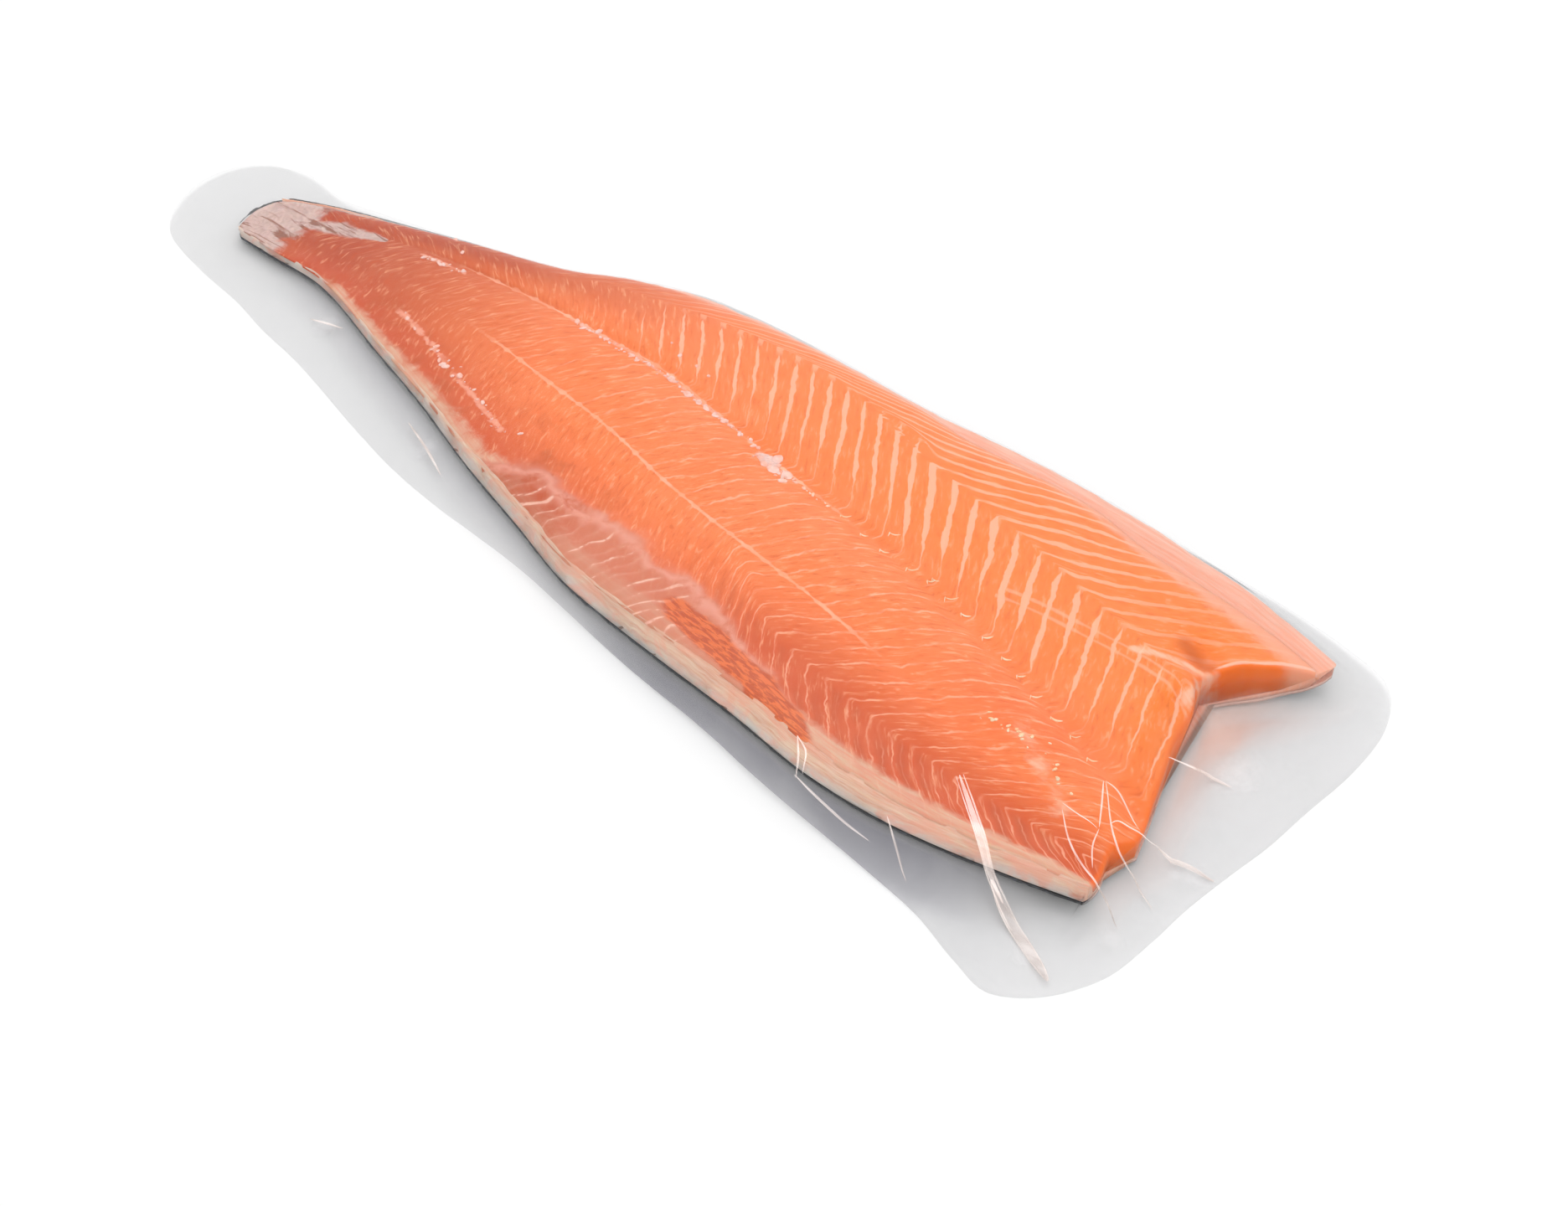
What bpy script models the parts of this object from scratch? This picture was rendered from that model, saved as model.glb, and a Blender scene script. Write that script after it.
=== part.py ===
"""Vacuum-packed side of salmon: one skin-on fillet lying skin down in a clear film pouch.

Axes: +X runs from the tail to the head end, +Y from the belly to the back, +Z up.
The origin is the middle of the pack's length and width, at the surface it lies on.
"""

import bisect
import math

import bmesh
import bpy

MM = 0.001

# Driving sizes, in millimetres
PACK_LENGTH = 636.0
PACK_WIDTH = 240.0
FILM = 0.6
SKIN = 1.6
FAT = 2.2
GAP = 0.4
FAT_INSET = 0.4
SEAM = 0.8
RIM_SWELL = 1.5
FLAKE = 11.0

# Heights of each layer's lower face over the curve that the fillet's underside follows
SKIN_FROM = FILM + 2 * GAP
FAT_FROM = SKIN_FROM + SKIN + GAP
FLESH_FROM = FAT_FROM + FAT + GAP

# The fillet in plan, as (x, y): belly edge, centre line and back edge
BELLY_EDGE = (
    (-290, 8), (-244, 5), (-204, 3), (-150, -14), (-106, -28), (-65, -43), (-20, -57), (17, -69),
    (71, -78), (119, -83.5), (161, -89.5), (200, -89), (244, -81), (290, -69),
)
CENTRE_LINE = (
    (-290, 25), (-231, 37), (-184, 46), (-120, 50), (-66, 49), (-24, 46), (20, 36), (57, 28),
    (93, 21), (118, 15), (167, 2), (208, -11), (240, -22), (290, -36),
)
BACK_EDGE = (
    (-290, 30), (-250, 46), (-225, 54), (-171, 68), (-117, 82), (-84, 98), (-48, 106.5), (11, 108.5),
    (71, 106), (122, 108), (175, 106), (226, 101), (262, 94), (295, 84),
)
TAIL_CUT = ((-256, 3), (-268, 9), (-273, 20), (-271, 32), (-262, 41), (-250, 48))
HEAD_CUT = (
    (275, -75), (273, -58), (271, -47), (276, -39), (271, -20), (266, -4), (262, 9), (260, 24),
    (254, 37), (262, 50), (270, 58), (277, 66), (285, 74), (289, 83), (283, 92),
)

# Heights along the fillet, as (x, height)
LOIN_HEIGHT = (
    (-290, 10), (-244, 12), (-204, 14.5), (-150, 18.5), (-106, 21), (-65, 23), (-20, 25),
    (71, 27), (161, 28), (230, 27.5), (290, 26),
)
BELLY_RISE = (
    (-290, 2.5), (-204, 4), (-106, 5), (-20, 4.5), (17, 4.8), (50, 6.5), (80, 8), (119, 9), (200, 10), (290, 9),
)
BACK_RISE = ((-290, 2.5), (-204, 4), (-106, 6), (-20, 8), (71, 9), (161, 10), (290, 9.5))

# How far the flesh stops short of the skin's edge, which leaves a rim of pale fat
BELLY_RIM = ((-290, 1.6), (-150, 2), (-65, 3), (0, 4), (60, 6), (119, 8), (180, 8), (240, 6), (290, 4))
BACK_RIM = ((-290, 1.6), (-150, 2), (-60, 4), (0, 3.5), (71, 4), (103, 8), (165, 9), (200, 13), (290, 11))

# Share of each half's width over which the underside curls up to the edge
BELLY_CURL = 0.45
BACK_CURL = 0.40

# Flesh thickness across the fillet: -1 is the belly edge, 0 the centre line, 1 the back edge
THICKNESS = (
    (-1, 0.12), (-0.93, 0.27), (-0.8, 0.41), (-0.6, 0.58), (-0.42, 0.71), (-0.2, 0.84), (0, 0.87),
    (0.25, 0.96), (0.5, 1.0), (0.72, 0.91), (0.86, 0.68), (0.95, 0.4), (1, 0.16),
)

# The wavy line that a sheet of fat between two flakes follows across the fillet, as (share, shift)
RIB_LINE = -0.42
BEND_AT = ((-290, 0.55), (-47, 0.63), (1, 0.7), (51, 0.78), (87, 0.74), (126, 0.61), (178, 0.54), (290, 0.5))
BEND_SHIFT = ((-290, -7), (-150, -14), (-47, -24), (126, -21), (215, -13), (290, -10))
RIB_SHIFT = ((-290, -8), (-150, -18), (-60, -30), (130, -40), (290, -40))
BELLY_SHIFT = ((-290, -6), (-60, -12), (290, -14))
BACK_SHIFT = ((-290, -10), (-150, -8), (-47, 10), (60, 36), (130, 44), (290, 44))

# Relief of the flesh: grooves between flakes, the backbone's furrow and the lumps of fat along it
FLAKE_GROOVE = 0.9
FLAKE_CREST = 0.3
BELLY_GROOVE_SHARE = 0.45
EDGE_SMOOTH = 0.12
SPINE_FURROW = 1.5
SPINE_FURROW_WIDTH = 0.05
FURROW_FROM = -200.0
FURROW_GROWS_OVER = 80.0
FAT_LUMPS = (
    (-70, 1.6), (-52, 2.2), (-30, 1.8), (-8, 2.4), (20, 1.6), (45, 2.0), (62, 3.2), (100, 1.4), (146, 1.6),
)
LUMP_REACH = 7.0
LUMP_NARROWING = 1.4

# Folds of the belly, as (x, share across, reach along, reach across, fold height, fold length, slant)
BELLY_FOLDS = (
    (20, -0.78, 62, 0.17, 1.3, 13, -1),
    (108, -0.72, 30, 0.12, 0.9, 9, 1),
)

# The hollow and the knob at the neck, as (x, y, height, reach)
NECK_SHAPES = ((251, 45, -5.0, 9), (256, 28, 2.5, 8))

# The slope of the flesh's two ends; towards the back, past the stated y, the head end is cut square
END_REACH = 16.0
HEAD_THINNING = 0.42
TAIL_THINNING = 0.5
SQUARE_FROM = 46.0
SQUARE_OVER = 12.0
HEAD_SLOPE_FOOT = ((-75, 275), (-20, 272), (24, 262), (60, 268))

# The pouch's rim in plan, from the tail's belly corner round the belly, head, back and tail
RIM_BELLY = (
    (-268, -18), (-235, -24), (-205, -32), (-175, -38), (-120, -53), (-74, -63), (-36, -67), (0, -71),
    (35, -77), (77, -84), (112, -89), (148, -96), (195, -102), (226, -107), (250, -115),
)
RIM_HEAD = (
    (268, -119), (285, -108), (297, -88), (301, -65), (303, -45), (306, -25), (311, -1), (314, 24),
    (318, 52), (317, 78),
)
RIM_BACK = (
    (307, 98), (285, 106), (250, 112), (200, 115), (130, 118), (71, 117), (11, 120), (-48, 118),
    (-84, 109), (-117, 94), (-171, 79), (-225, 66), (-252, 62),
)
RIM_TAIL = ((-280, 66), (-304, 60), (-317, 42), (-316, 16), (-300, -8))
EDGE_ROOM = 2.0
SKIRT_DROP = 17.0
SKIRT_STEPS = (0.3, 0.6, 0.82, 1.0)
RIM_LIFT = 1.6

# Pleats of the skirt, as (x and y where it leaves the fillet, height, spread)
PLEATS = (
    (148, -86, 3.0, 5.0), (206, -86, 2.6, 6.0), (222, -86, 3.4, 6.0), (276, -60, 3.2, 6.0),
    (276, -38, 3.0, 5.0), (268, -12, 2.6, 6.0), (-244, 5, 2.2, 8.0), (-128, -22, 1.8, 8.0),
)

# How finely the shapes are divided
FLESH_TOP = (
    -1, -0.96, -0.88, -0.78, -0.68, -0.58, -0.5, -0.42, -0.32, -0.2, -0.09, -0.03, 0.03, 0.1, 0.21,
    0.33, 0.45, 0.56, 0.66, 0.76, 0.85, 0.92, 0.97, 1,
)
UNDER_ACROSS = (-1, -0.89, -0.78, -0.66, -0.55, 0.6, 0.7, 0.8, 0.9, 1)
CURL_STEPS = (1.0, 0.75, 0.5, 0.25, 0.0)
EDGE_RING = len(CURL_STEPS)
RINGS_PER_FLAKE = 2
LAYER_RING_STEP = 20.0
LOFT_FROM = -340.0
LOFT_TO = 350.0
SIDE_POINTS = 32
HEAD_POINTS = 16
TAIL_POINTS = 8


def smooth_line(points):
    """A function that runs smoothly through (x, y) points given in rising x."""
    xs = [p[0] for p in points]
    ys = [p[1] for p in points]
    slopes = []
    for i in range(len(xs)):
        low = max(i - 1, 0)
        high = min(i + 1, len(xs) - 1)
        slopes.append((ys[high] - ys[low]) / (xs[high] - xs[low]))

    def at(x):
        if x <= xs[0]:
            return ys[0] + slopes[0] * (x - xs[0])
        if x >= xs[-1]:
            return ys[-1] + slopes[-1] * (x - xs[-1])
        i = bisect.bisect_right(xs, x) - 1
        span = xs[i + 1] - xs[i]
        t = (x - xs[i]) / span
        rise = ys[i] * (2 * t**3 - 3 * t**2 + 1) + ys[i + 1] * (3 * t**2 - 2 * t**3)
        lean = slopes[i] * (t**3 - 2 * t**2 + t) + slopes[i + 1] * (t**3 - t**2)
        return rise + lean * span

    return at


belly_edge = smooth_line(BELLY_EDGE)
centre_line = smooth_line(CENTRE_LINE)
back_edge = smooth_line(BACK_EDGE)
loin_height = smooth_line(LOIN_HEIGHT)
belly_rise = smooth_line(BELLY_RISE)
back_rise = smooth_line(BACK_RISE)
belly_rim = smooth_line(BELLY_RIM)
back_rim = smooth_line(BACK_RIM)
thickness = smooth_line(THICKNESS)
end_of_head = smooth_line(HEAD_SLOPE_FOOT)
bend_at = smooth_line(BEND_AT)
bend_shift = smooth_line(BEND_SHIFT)
rib_shift = smooth_line(RIB_SHIFT)
belly_shift = smooth_line(BELLY_SHIFT)
back_shift = smooth_line(BACK_SHIFT)


def bump(distance, reach):
    """A rounded hill of height 1 that fades to nothing over about twice its reach."""
    return math.exp(-((distance / reach) ** 2))


def ease(t):
    """A smooth step from 0 to 1."""
    t = min(max(t, 0.0), 1.0)
    return t * t * (3 - 2 * t)


def under(x, y):
    """Height of the fillet's underside: flat in the middle, curling up at both edges."""
    centre = centre_line(x)
    if y < centre:
        reach = BELLY_CURL * (centre - belly_edge(x))
        share = (belly_edge(x) + reach - y) / reach
        rise = belly_rise(x)
    else:
        reach = BACK_CURL * (back_edge(x) - centre)
        share = (y - back_edge(x) + reach) / reach
        rise = back_rise(x)
    return rise * max(share, 0.0) ** 2


def across(x, v, belly_inset=0.0, back_inset=0.0):
    """The y of the share v of the fillet's width, at x."""
    centre = centre_line(x)
    if v < 0:
        return centre + v * (centre - belly_edge(x) - belly_inset)
    return centre + v * (back_edge(x) - back_inset - centre)


def flake_shift(x, v):
    """How far along the fillet the sheet of fat that crosses the centre line at x lies at share v."""
    points = (
        (-1.0, belly_shift(x)), (-0.72, 0.72 * rib_shift(x)), (-0.54, 0.98 * rib_shift(x)),
        (RIB_LINE, rib_shift(x)), (-0.2, 0.5 * rib_shift(x)), (0.0, 0.0),
        (0.5 * bend_at(x), 0.45 * bend_shift(x)), (bend_at(x), bend_shift(x)),
        (0.5 + 0.5 * bend_at(x), 0.35 * bend_shift(x) + 0.45 * back_shift(x)), (1.0, back_shift(x)),
    )
    return smooth_line(points)(v)


def end_slope(x, y):
    """Share of the flesh's thickness left near its ends: the belly's end thins out, the loin is cut square."""
    head = ease((x - end_of_head(y) + END_REACH) / END_REACH)
    tail = ease((TAIL_CUT[2][0] + END_REACH - x) / END_REACH)
    sloped = ease((SQUARE_FROM - y) / SQUARE_OVER)
    return 1 - HEAD_THINNING * head * sloped - TAIL_THINNING * tail


def relief(x, y, v, on_groove):
    """Height that flakes, the furrow of the backbone, lumps of fat and belly folds add to the flesh."""
    height = (-FLAKE_GROOVE if on_groove else FLAKE_CREST) * ease((1 - abs(v)) / EDGE_SMOOTH)
    height *= 1 if v > 0 else BELLY_GROOVE_SHARE
    height -= SPINE_FURROW * bump(v, SPINE_FURROW_WIDTH) * ease((x - FURROW_FROM) / FURROW_GROWS_OVER)
    for place, size in FAT_LUMPS:
        off_line = (y - centre_line(place)) * LUMP_NARROWING
        height += size * bump(math.hypot(x - place, off_line), LUMP_REACH)
    for at_x, at_v, reach_x, reach_v, fold, length, slant in BELLY_FOLDS:
        here = bump(x - at_x, reach_x) * bump(v - at_v, reach_v)
        height += fold * here * math.sin((x + slant * y) * 2 * math.pi / length)
    for at_x, at_y, step, reach in NECK_SHAPES:
        height += step * bump(math.hypot(x - at_x, y - at_y), reach)
    return height


def chain_cap(bm, upper, lower, upper_at, lower_at):
    """Triangles between two chains of vertices that run side by side across the fillet."""
    i = 0
    j = 0
    while i < len(upper) - 1 or j < len(lower) - 1:
        more_up = i < len(upper) - 1
        more_low = j < len(lower) - 1
        if more_up and (not more_low or upper_at[i + 1] <= lower_at[j + 1]):
            bm.faces.new((upper[i], upper[i + 1], lower[j]))
            i += 1
        else:
            bm.faces.new((upper[i], lower[j + 1], lower[j]))
            j += 1


def loft(name, rings, upper_at, lower_at):
    """A closed body through rings, each given as its upper chain and its lower chain of points."""
    bm = bmesh.new()
    chains = [
        ([bm.verts.new(p) for p in upper], [bm.verts.new(p) for p in lower]) for upper, lower in rings
    ]
    loops = [upper + lower[::-1] for upper, lower in chains]
    for one, two in zip(loops, loops[1:]):
        for i in range(len(one)):
            j = (i + 1) % len(one)
            bm.faces.new((one[i], two[i], two[j], one[j]))
    for upper, lower in (chains[0], chains[-1]):
        chain_cap(bm, upper, lower, upper_at, lower_at)
    bmesh.ops.triangulate(bm, faces=bm.faces)
    return finished(name, bm)


def finished(name, bm):
    """The object that holds a bmesh, with its faces pointing out."""
    bmesh.ops.recalc_face_normals(bm, faces=bm.faces)
    mesh = bpy.data.meshes.new(name)
    bm.to_mesh(mesh)
    bm.free()
    obj = bpy.data.objects.new(name, mesh)
    bpy.context.collection.objects.link(obj)
    mesh.shade_smooth()
    mesh.set_sharp_from_angle(angle=math.radians(50))
    return obj


def metres(x, y, z):
    """A point given in millimetres, in metres."""
    return (x * MM, y * MM, z * MM)


def make_flesh():
    """The flesh: rings that follow the sheets of fat between the flakes, with a groove on each."""
    count = int((LOFT_TO - LOFT_FROM) / FLAKE * RINGS_PER_FLAKE)
    rings = []
    for ring in range(count + 1):
        start = LOFT_FROM + ring * FLAKE / RINGS_PER_FLAKE
        on_groove = ring % RINGS_PER_FLAKE == 0
        upper = []
        for v in FLESH_TOP:
            x = start + flake_shift(start, v)
            y = across(x, v, belly_rim(x), back_rim(x))
            body = (loin_height(x) - FLESH_FROM) * thickness(v) * end_slope(x, y)
            upper.append(metres(x, y, under(x, y) + FLESH_FROM + body + relief(x, y, v, on_groove)))
        lower = []
        for v in UNDER_ACROSS:
            x = start + flake_shift(start, v)
            y = across(x, v, belly_rim(x), back_rim(x))
            lower.append(metres(x, y, under(x, y) + FLESH_FROM))
        rings.append((upper, lower))
    return loft("flesh", rings, FLESH_TOP, UNDER_ACROSS)


def layer_rings(low, high, places):
    """Rings for a thin layer: places gives, at x, the (y, swell) of each point across it."""
    rings = []
    for ring in range(int((LOFT_TO - LOFT_FROM) / LAYER_RING_STEP) + 1):
        x = LOFT_FROM + ring * LAYER_RING_STEP
        upper = [metres(x, y, under(x, y) + high + swell) for y, swell in places(x)]
        lower = [metres(x, y, under(x, y) + low) for y, swell in places(x)]
        rings.append((upper, lower))
    return rings


def make_fat():
    """The pale fat under the flesh, which swells up round it as a rim."""

    def places(x):
        belly_seam = belly_rim(x) - SEAM
        back_seam = back_rim(x) - SEAM
        row = [(across(x, -1, FAT_INSET), 0.3 * RIM_SWELL)]
        row += [(across(x, -1, 0.4 * belly_seam + 0.6 * FAT_INSET), RIM_SWELL)]
        row += [(across(x, v, belly_seam, back_seam), 0.0) for v in UNDER_ACROSS]
        row += [(across(x, 1, 0, 0.4 * back_seam + 0.6 * FAT_INSET), RIM_SWELL)]
        row += [(across(x, 1, 0, FAT_INSET), 0.3 * RIM_SWELL)]
        return row

    shares = (-1.2, -1.1) + UNDER_ACROSS + (1.1, 1.2)
    return loft("fat_layer", layer_rings(FAT_FROM, FAT_FROM + FAT, places), shares, shares)


def make_skin():
    """The dark skin that the fillet lies on."""

    def places(x):
        return [(across(x, v), 0.0) for v in UNDER_ACROSS]

    return loft("skin", layer_rings(SKIN_FROM, SKIN_FROM + SKIN, places), UNDER_ACROSS, UNDER_ACROSS)


def make_end_cuts():
    """The block that keeps only what lies between the tail cut and the head cut."""
    past = PACK_WIDTH
    outline = [(TAIL_CUT[0][0], -past), (HEAD_CUT[0][0], -past)]
    outline += list(HEAD_CUT)
    outline += [(HEAD_CUT[-1][0], past), (TAIL_CUT[-1][0], past)]
    outline += list(reversed(TAIL_CUT))
    bm = bmesh.new()
    face = bm.faces.new([bm.verts.new(metres(x, y, -20)) for x, y in outline])
    raised = bmesh.ops.extrude_face_region(bm, geom=[face])
    tops = [item for item in raised["geom"] if isinstance(item, bmesh.types.BMVert)]
    bmesh.ops.translate(bm, vec=metres(0, 0, 100), verts=tops)
    block = finished("end_cuts", bm)
    block.hide_render = True
    block.display_type = "WIRE"
    return block


def trim(obj, block):
    """Cuts a layer's two ends off at the tail cut and the head cut."""
    cut = obj.modifiers.new("end cuts", "BOOLEAN")
    cut.operation = "INTERSECT"
    cut.solver = "EXACT"
    cut.object = block


def along(points, count):
    """Evenly spaced points on a polyline, from its first point up to but not including its last."""
    lengths = [math.dist(a, b) for a, b in zip(points, points[1:])]
    total = sum(lengths)
    spaced = []
    for k in range(count):
        left = total * k / count
        i = 0
        while left > lengths[i]:
            left -= lengths[i]
            i += 1
        t = left / lengths[i]
        a = points[i]
        b = points[i + 1]
        spaced.append((a[0] + (b[0] - a[0]) * t, a[1] + (b[1] - a[1]) * t))
    return spaced


def rounded(points, steps=6):
    """A closed smooth curve through points, as a polyline with the given steps between them."""
    count = len(points)
    curve = []
    for i in range(count):
        p = [points[(i + k - 1) % count] for k in range(4)]
        for step in range(steps):
            t = step / steps
            curve.append(tuple(
                0.5 * (2 * p[1][c] + (p[2][c] - p[0][c]) * t
                       + (2 * p[0][c] - 5 * p[1][c] + 4 * p[2][c] - p[3][c]) * t**2
                       + (3 * p[1][c] - p[0][c] - 3 * p[2][c] + p[3][c]) * t**3)
                for c in (0, 1)
            ))
    return curve


def fitted(points):
    """The rim stretched by the last millimetre, so that the pack's length and width are exact."""
    fit = []
    spans = []
    for axis, size in ((0, PACK_LENGTH), (1, PACK_WIDTH)):
        low = min(p[axis] for p in points)
        high = max(p[axis] for p in points)
        spans.append((0.5 * (low + high), size / (high - low)))
    for p in points:
        fit.append(tuple((p[axis] - spans[axis][0]) * spans[axis][1] for axis in (0, 1)))
    return fit


def fillet_outline(belly_share, back_share):
    """Points round the fillet in four runs, drawn in towards the centre line by the given shares."""
    tail_x = TAIL_CUT[0][0]
    head_x = HEAD_CUT[0][0]
    steps = 60
    belly = []
    back = []
    for k in range(steps + 1):
        x = tail_x + (head_x - tail_x) * k / steps
        belly.append((x, across(x, -belly_share)))
        x = HEAD_CUT[-1][0] + (TAIL_CUT[-1][0] - HEAD_CUT[-1][0]) * k / steps
        back.append((x, across(x, back_share)))
    head = [drawn_in(x, y, belly_share, back_share) for x, y in HEAD_CUT]
    tail = [drawn_in(x, y, belly_share, back_share) for x, y in reversed(TAIL_CUT)]
    runs = ((belly, SIDE_POINTS), (head, HEAD_POINTS), (back, SIDE_POINTS), (tail, TAIL_POINTS))
    outline = []
    for run, count in runs:
        outline += along(run, count)
    return outline


def drawn_in(x, y, belly_share, back_share):
    """A point moved towards the centre line."""
    centre = centre_line(x)
    return (x, centre + (y - centre) * (belly_share if y < centre else back_share))


def outset(points, distance):
    """A closed outline, run anticlockwise, moved outwards by a distance."""
    moved = []
    count = len(points)
    for i, (x, y) in enumerate(points):
        before = points[i - 1]
        after = points[(i + 1) % count]
        span = math.dist(before, after)
        along_x = (after[0] - before[0]) / span
        along_y = (after[1] - before[1]) / span
        moved.append((x + along_y * distance, y - along_x * distance))
    return moved


def rim_outline():
    """Points round the pouch's rim, in the same four runs as the fillet's outline."""
    steps = 6
    runs = (RIM_BELLY, RIM_HEAD, RIM_BACK, RIM_TAIL)
    curve = rounded([p for run in runs for p in run], steps)
    curve.append(curve[0])
    outline = []
    start = 0
    for run, count in zip(runs, (SIDE_POINTS, HEAD_POINTS, SIDE_POINTS, TAIL_POINTS)):
        end = start + len(run) * steps
        outline += along(curve[start:end + 1], count)
        start = end
    return fitted(outline)


def pleat_height(x, y, share):
    """Height that the pleats add to the skirt, from nothing at the fillet to nothing at the rim."""
    height = 0.0
    for pleat_x, pleat_y, size, spread in PLEATS:
        height += size * bump(math.hypot(x - pleat_x, y - pleat_y), spread)
    return height * math.sin(math.pi * min(share * 1.15, 1.0))


def make_pouch():
    """The back web of the pouch and its skirt: one wavy sheet, flat where the pack rests."""
    rings = []
    for curl in CURL_STEPS:
        drawn = fillet_outline(1 - curl * BELLY_CURL, 1 - curl * BACK_CURL)
        rings.append([(x, y, under(x, y) if curl < 1 else 0.0) for x, y in drawn])
    edge = outset(drawn, EDGE_ROOM)
    rings.append([(*point, z) for point, (x, y, z) in zip(edge, rings[-1])])
    rim = rim_outline()
    for share in SKIRT_STEPS:
        ring = []
        for k, ((ex, ey), (rx, ry)) in enumerate(zip(edge, rim)):
            x = ex + (rx - ex) * share
            y = ey + (ry - ey) * share
            run = math.dist((ex, ey), (x, y))
            fall = 1 - ease(run / min(SKIRT_DROP, math.dist((ex, ey), (rx, ry))))
            wave = RIM_LIFT * share * (0.5 - 0.5 * math.cos(k * 2 * math.pi * 9 / len(edge)))
            ring.append((x, y, rings[EDGE_RING][k][2] * fall + wave + pleat_height(ex, ey, share)))
        rings.append(ring)
    bm = bmesh.new()
    sheets = []
    for lift in (0.0, FILM):
        loops = [[bm.verts.new(metres(x, y, z + lift)) for x, y, z in ring] for ring in rings]
        bm.faces.new(loops[0])
        for one, two in zip(loops, loops[1:]):
            stitch(bm, one, two)
        sheets.append(loops[-1])
    stitch(bm, sheets[0], sheets[1])
    bmesh.ops.triangulate(bm, faces=bm.faces)
    return finished("pouch", bm)


def stitch(bm, one, two):
    """Triangles between two closed rings of as many vertices."""
    for i in range(len(one)):
        j = (i + 1) % len(one)
        bm.faces.new((one[i], one[j], two[j]))
        bm.faces.new((one[i], two[j], two[i]))


def coat(obj, colour, roughness, alpha=1.0, metallic=0.0):
    """Gives an object its own material."""
    material = bpy.data.materials.new(obj.name)
    material.use_nodes = True
    shader = material.node_tree.nodes["Principled BSDF"]
    shader.inputs["Base Color"].default_value = (*colour, 1)
    shader.inputs["Roughness"].default_value = roughness
    shader.inputs["Metallic"].default_value = metallic
    shader.inputs["Alpha"].default_value = alpha
    obj.data.materials.append(material)


def clear_scene():
    """Removes whatever the scene holds."""
    for obj in list(bpy.data.objects):
        bpy.data.objects.remove(obj)


def main():
    clear_scene()
    block = make_end_cuts()
    flesh = make_flesh()
    fat = make_fat()
    skin = make_skin()
    pouch = make_pouch()
    for layer in (flesh, fat, skin):
        trim(layer, block)
    coat(flesh, (0.92, 0.27, 0.1), 0.35)
    coat(fat, (0.86, 0.66, 0.5), 0.4)
    coat(skin, (0.1, 0.11, 0.13), 0.35, metallic=0.3)
    coat(pouch, (0.85, 0.87, 0.9), 0.12, alpha=0.3)


main()
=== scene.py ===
"""Looks of the vacuum-packed side of salmon: flesh, fat, skin and the clear film round them.

Axes: +X runs from the tail to the head end, +Y from the belly to the back, +Z up.
Lengths in the tables are millimetres; a mesh gets them in metres.
"""

import math

import bpy
import numpy as np
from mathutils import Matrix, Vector


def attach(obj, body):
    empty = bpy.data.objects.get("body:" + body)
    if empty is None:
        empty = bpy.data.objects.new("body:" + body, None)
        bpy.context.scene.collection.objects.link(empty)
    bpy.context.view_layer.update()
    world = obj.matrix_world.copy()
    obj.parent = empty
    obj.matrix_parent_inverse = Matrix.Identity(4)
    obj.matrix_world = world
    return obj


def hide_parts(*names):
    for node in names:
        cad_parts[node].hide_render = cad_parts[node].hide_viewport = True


bl_info = {
    "name": "Vacuum-packed side of salmon",
    "version": (1, 0, 0),
    "blender": (4, 5, 0),
    "location": "View3D > Sidebar > Salmon pack",
    "description": "Builds the flesh, fat, skin and film of a vacuum-packed side of salmon",
    "category": "Object",
}

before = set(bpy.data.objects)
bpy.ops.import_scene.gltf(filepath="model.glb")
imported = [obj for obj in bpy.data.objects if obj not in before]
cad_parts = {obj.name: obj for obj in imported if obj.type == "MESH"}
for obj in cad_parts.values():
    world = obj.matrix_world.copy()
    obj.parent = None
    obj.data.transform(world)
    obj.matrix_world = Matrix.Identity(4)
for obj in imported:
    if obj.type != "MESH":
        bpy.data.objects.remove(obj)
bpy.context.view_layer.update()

MM = 0.001
BODY = "root"

# The solids' sizes: layers above the curve that the fillet's underside follows
PACK_LENGTH = 636.0
PACK_WIDTH = 240.0
FILM_FROM = 0.2
SKIN = 1.6
FAT = 2.2
GAP = 0.4
SKIN_FROM = 1.4
FAT_FROM = SKIN_FROM + SKIN + GAP
FLESH_FROM = FAT_FROM + FAT + GAP
FAT_INSET = 0.4
TAIL_FAT_RISE = 1.6
BELLY_FAT_RISE = 4.7
BACK_FAT_RISE = 4.2

# The fillet in plan, as (x, y): belly edge, centre line and back edge
BELLY_EDGE = (
    (-290, 8), (-244, 5), (-204, 3), (-150, -14), (-106, -28), (-65, -43), (-20, -57), (17, -69),
    (71, -78), (119, -83.5), (161, -89.5), (200, -89), (244, -81), (290, -69),
)
CENTRE_LINE = (
    (-290, 25), (-231, 37), (-184, 46), (-120, 50), (-66, 49), (-24, 46), (20, 36), (57, 28),
    (93, 21), (118, 15), (167, 2), (208, -11), (240, -22), (290, -36),
)
BACK_EDGE = (
    (-290, 30), (-250, 46), (-225, 54), (-171, 68), (-117, 82), (-84, 98), (-48, 106.5), (11, 108.5),
    (71, 106), (122, 108), (175, 106), (226, 101), (262, 94), (295, 84),
)
TAIL_CUT = ((-256, 3), (-268, 9), (-273, 20), (-271, 32), (-262, 41), (-250, 48))
HEAD_CUT = (
    (275, -75), (273, -58), (271, -47), (276, -39), (271, -20), (266, -4), (262, 9), (260, 24),
    (254, 37), (262, 50), (270, 58), (277, 66), (285, 74), (289, 83), (283, 92),
)

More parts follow.
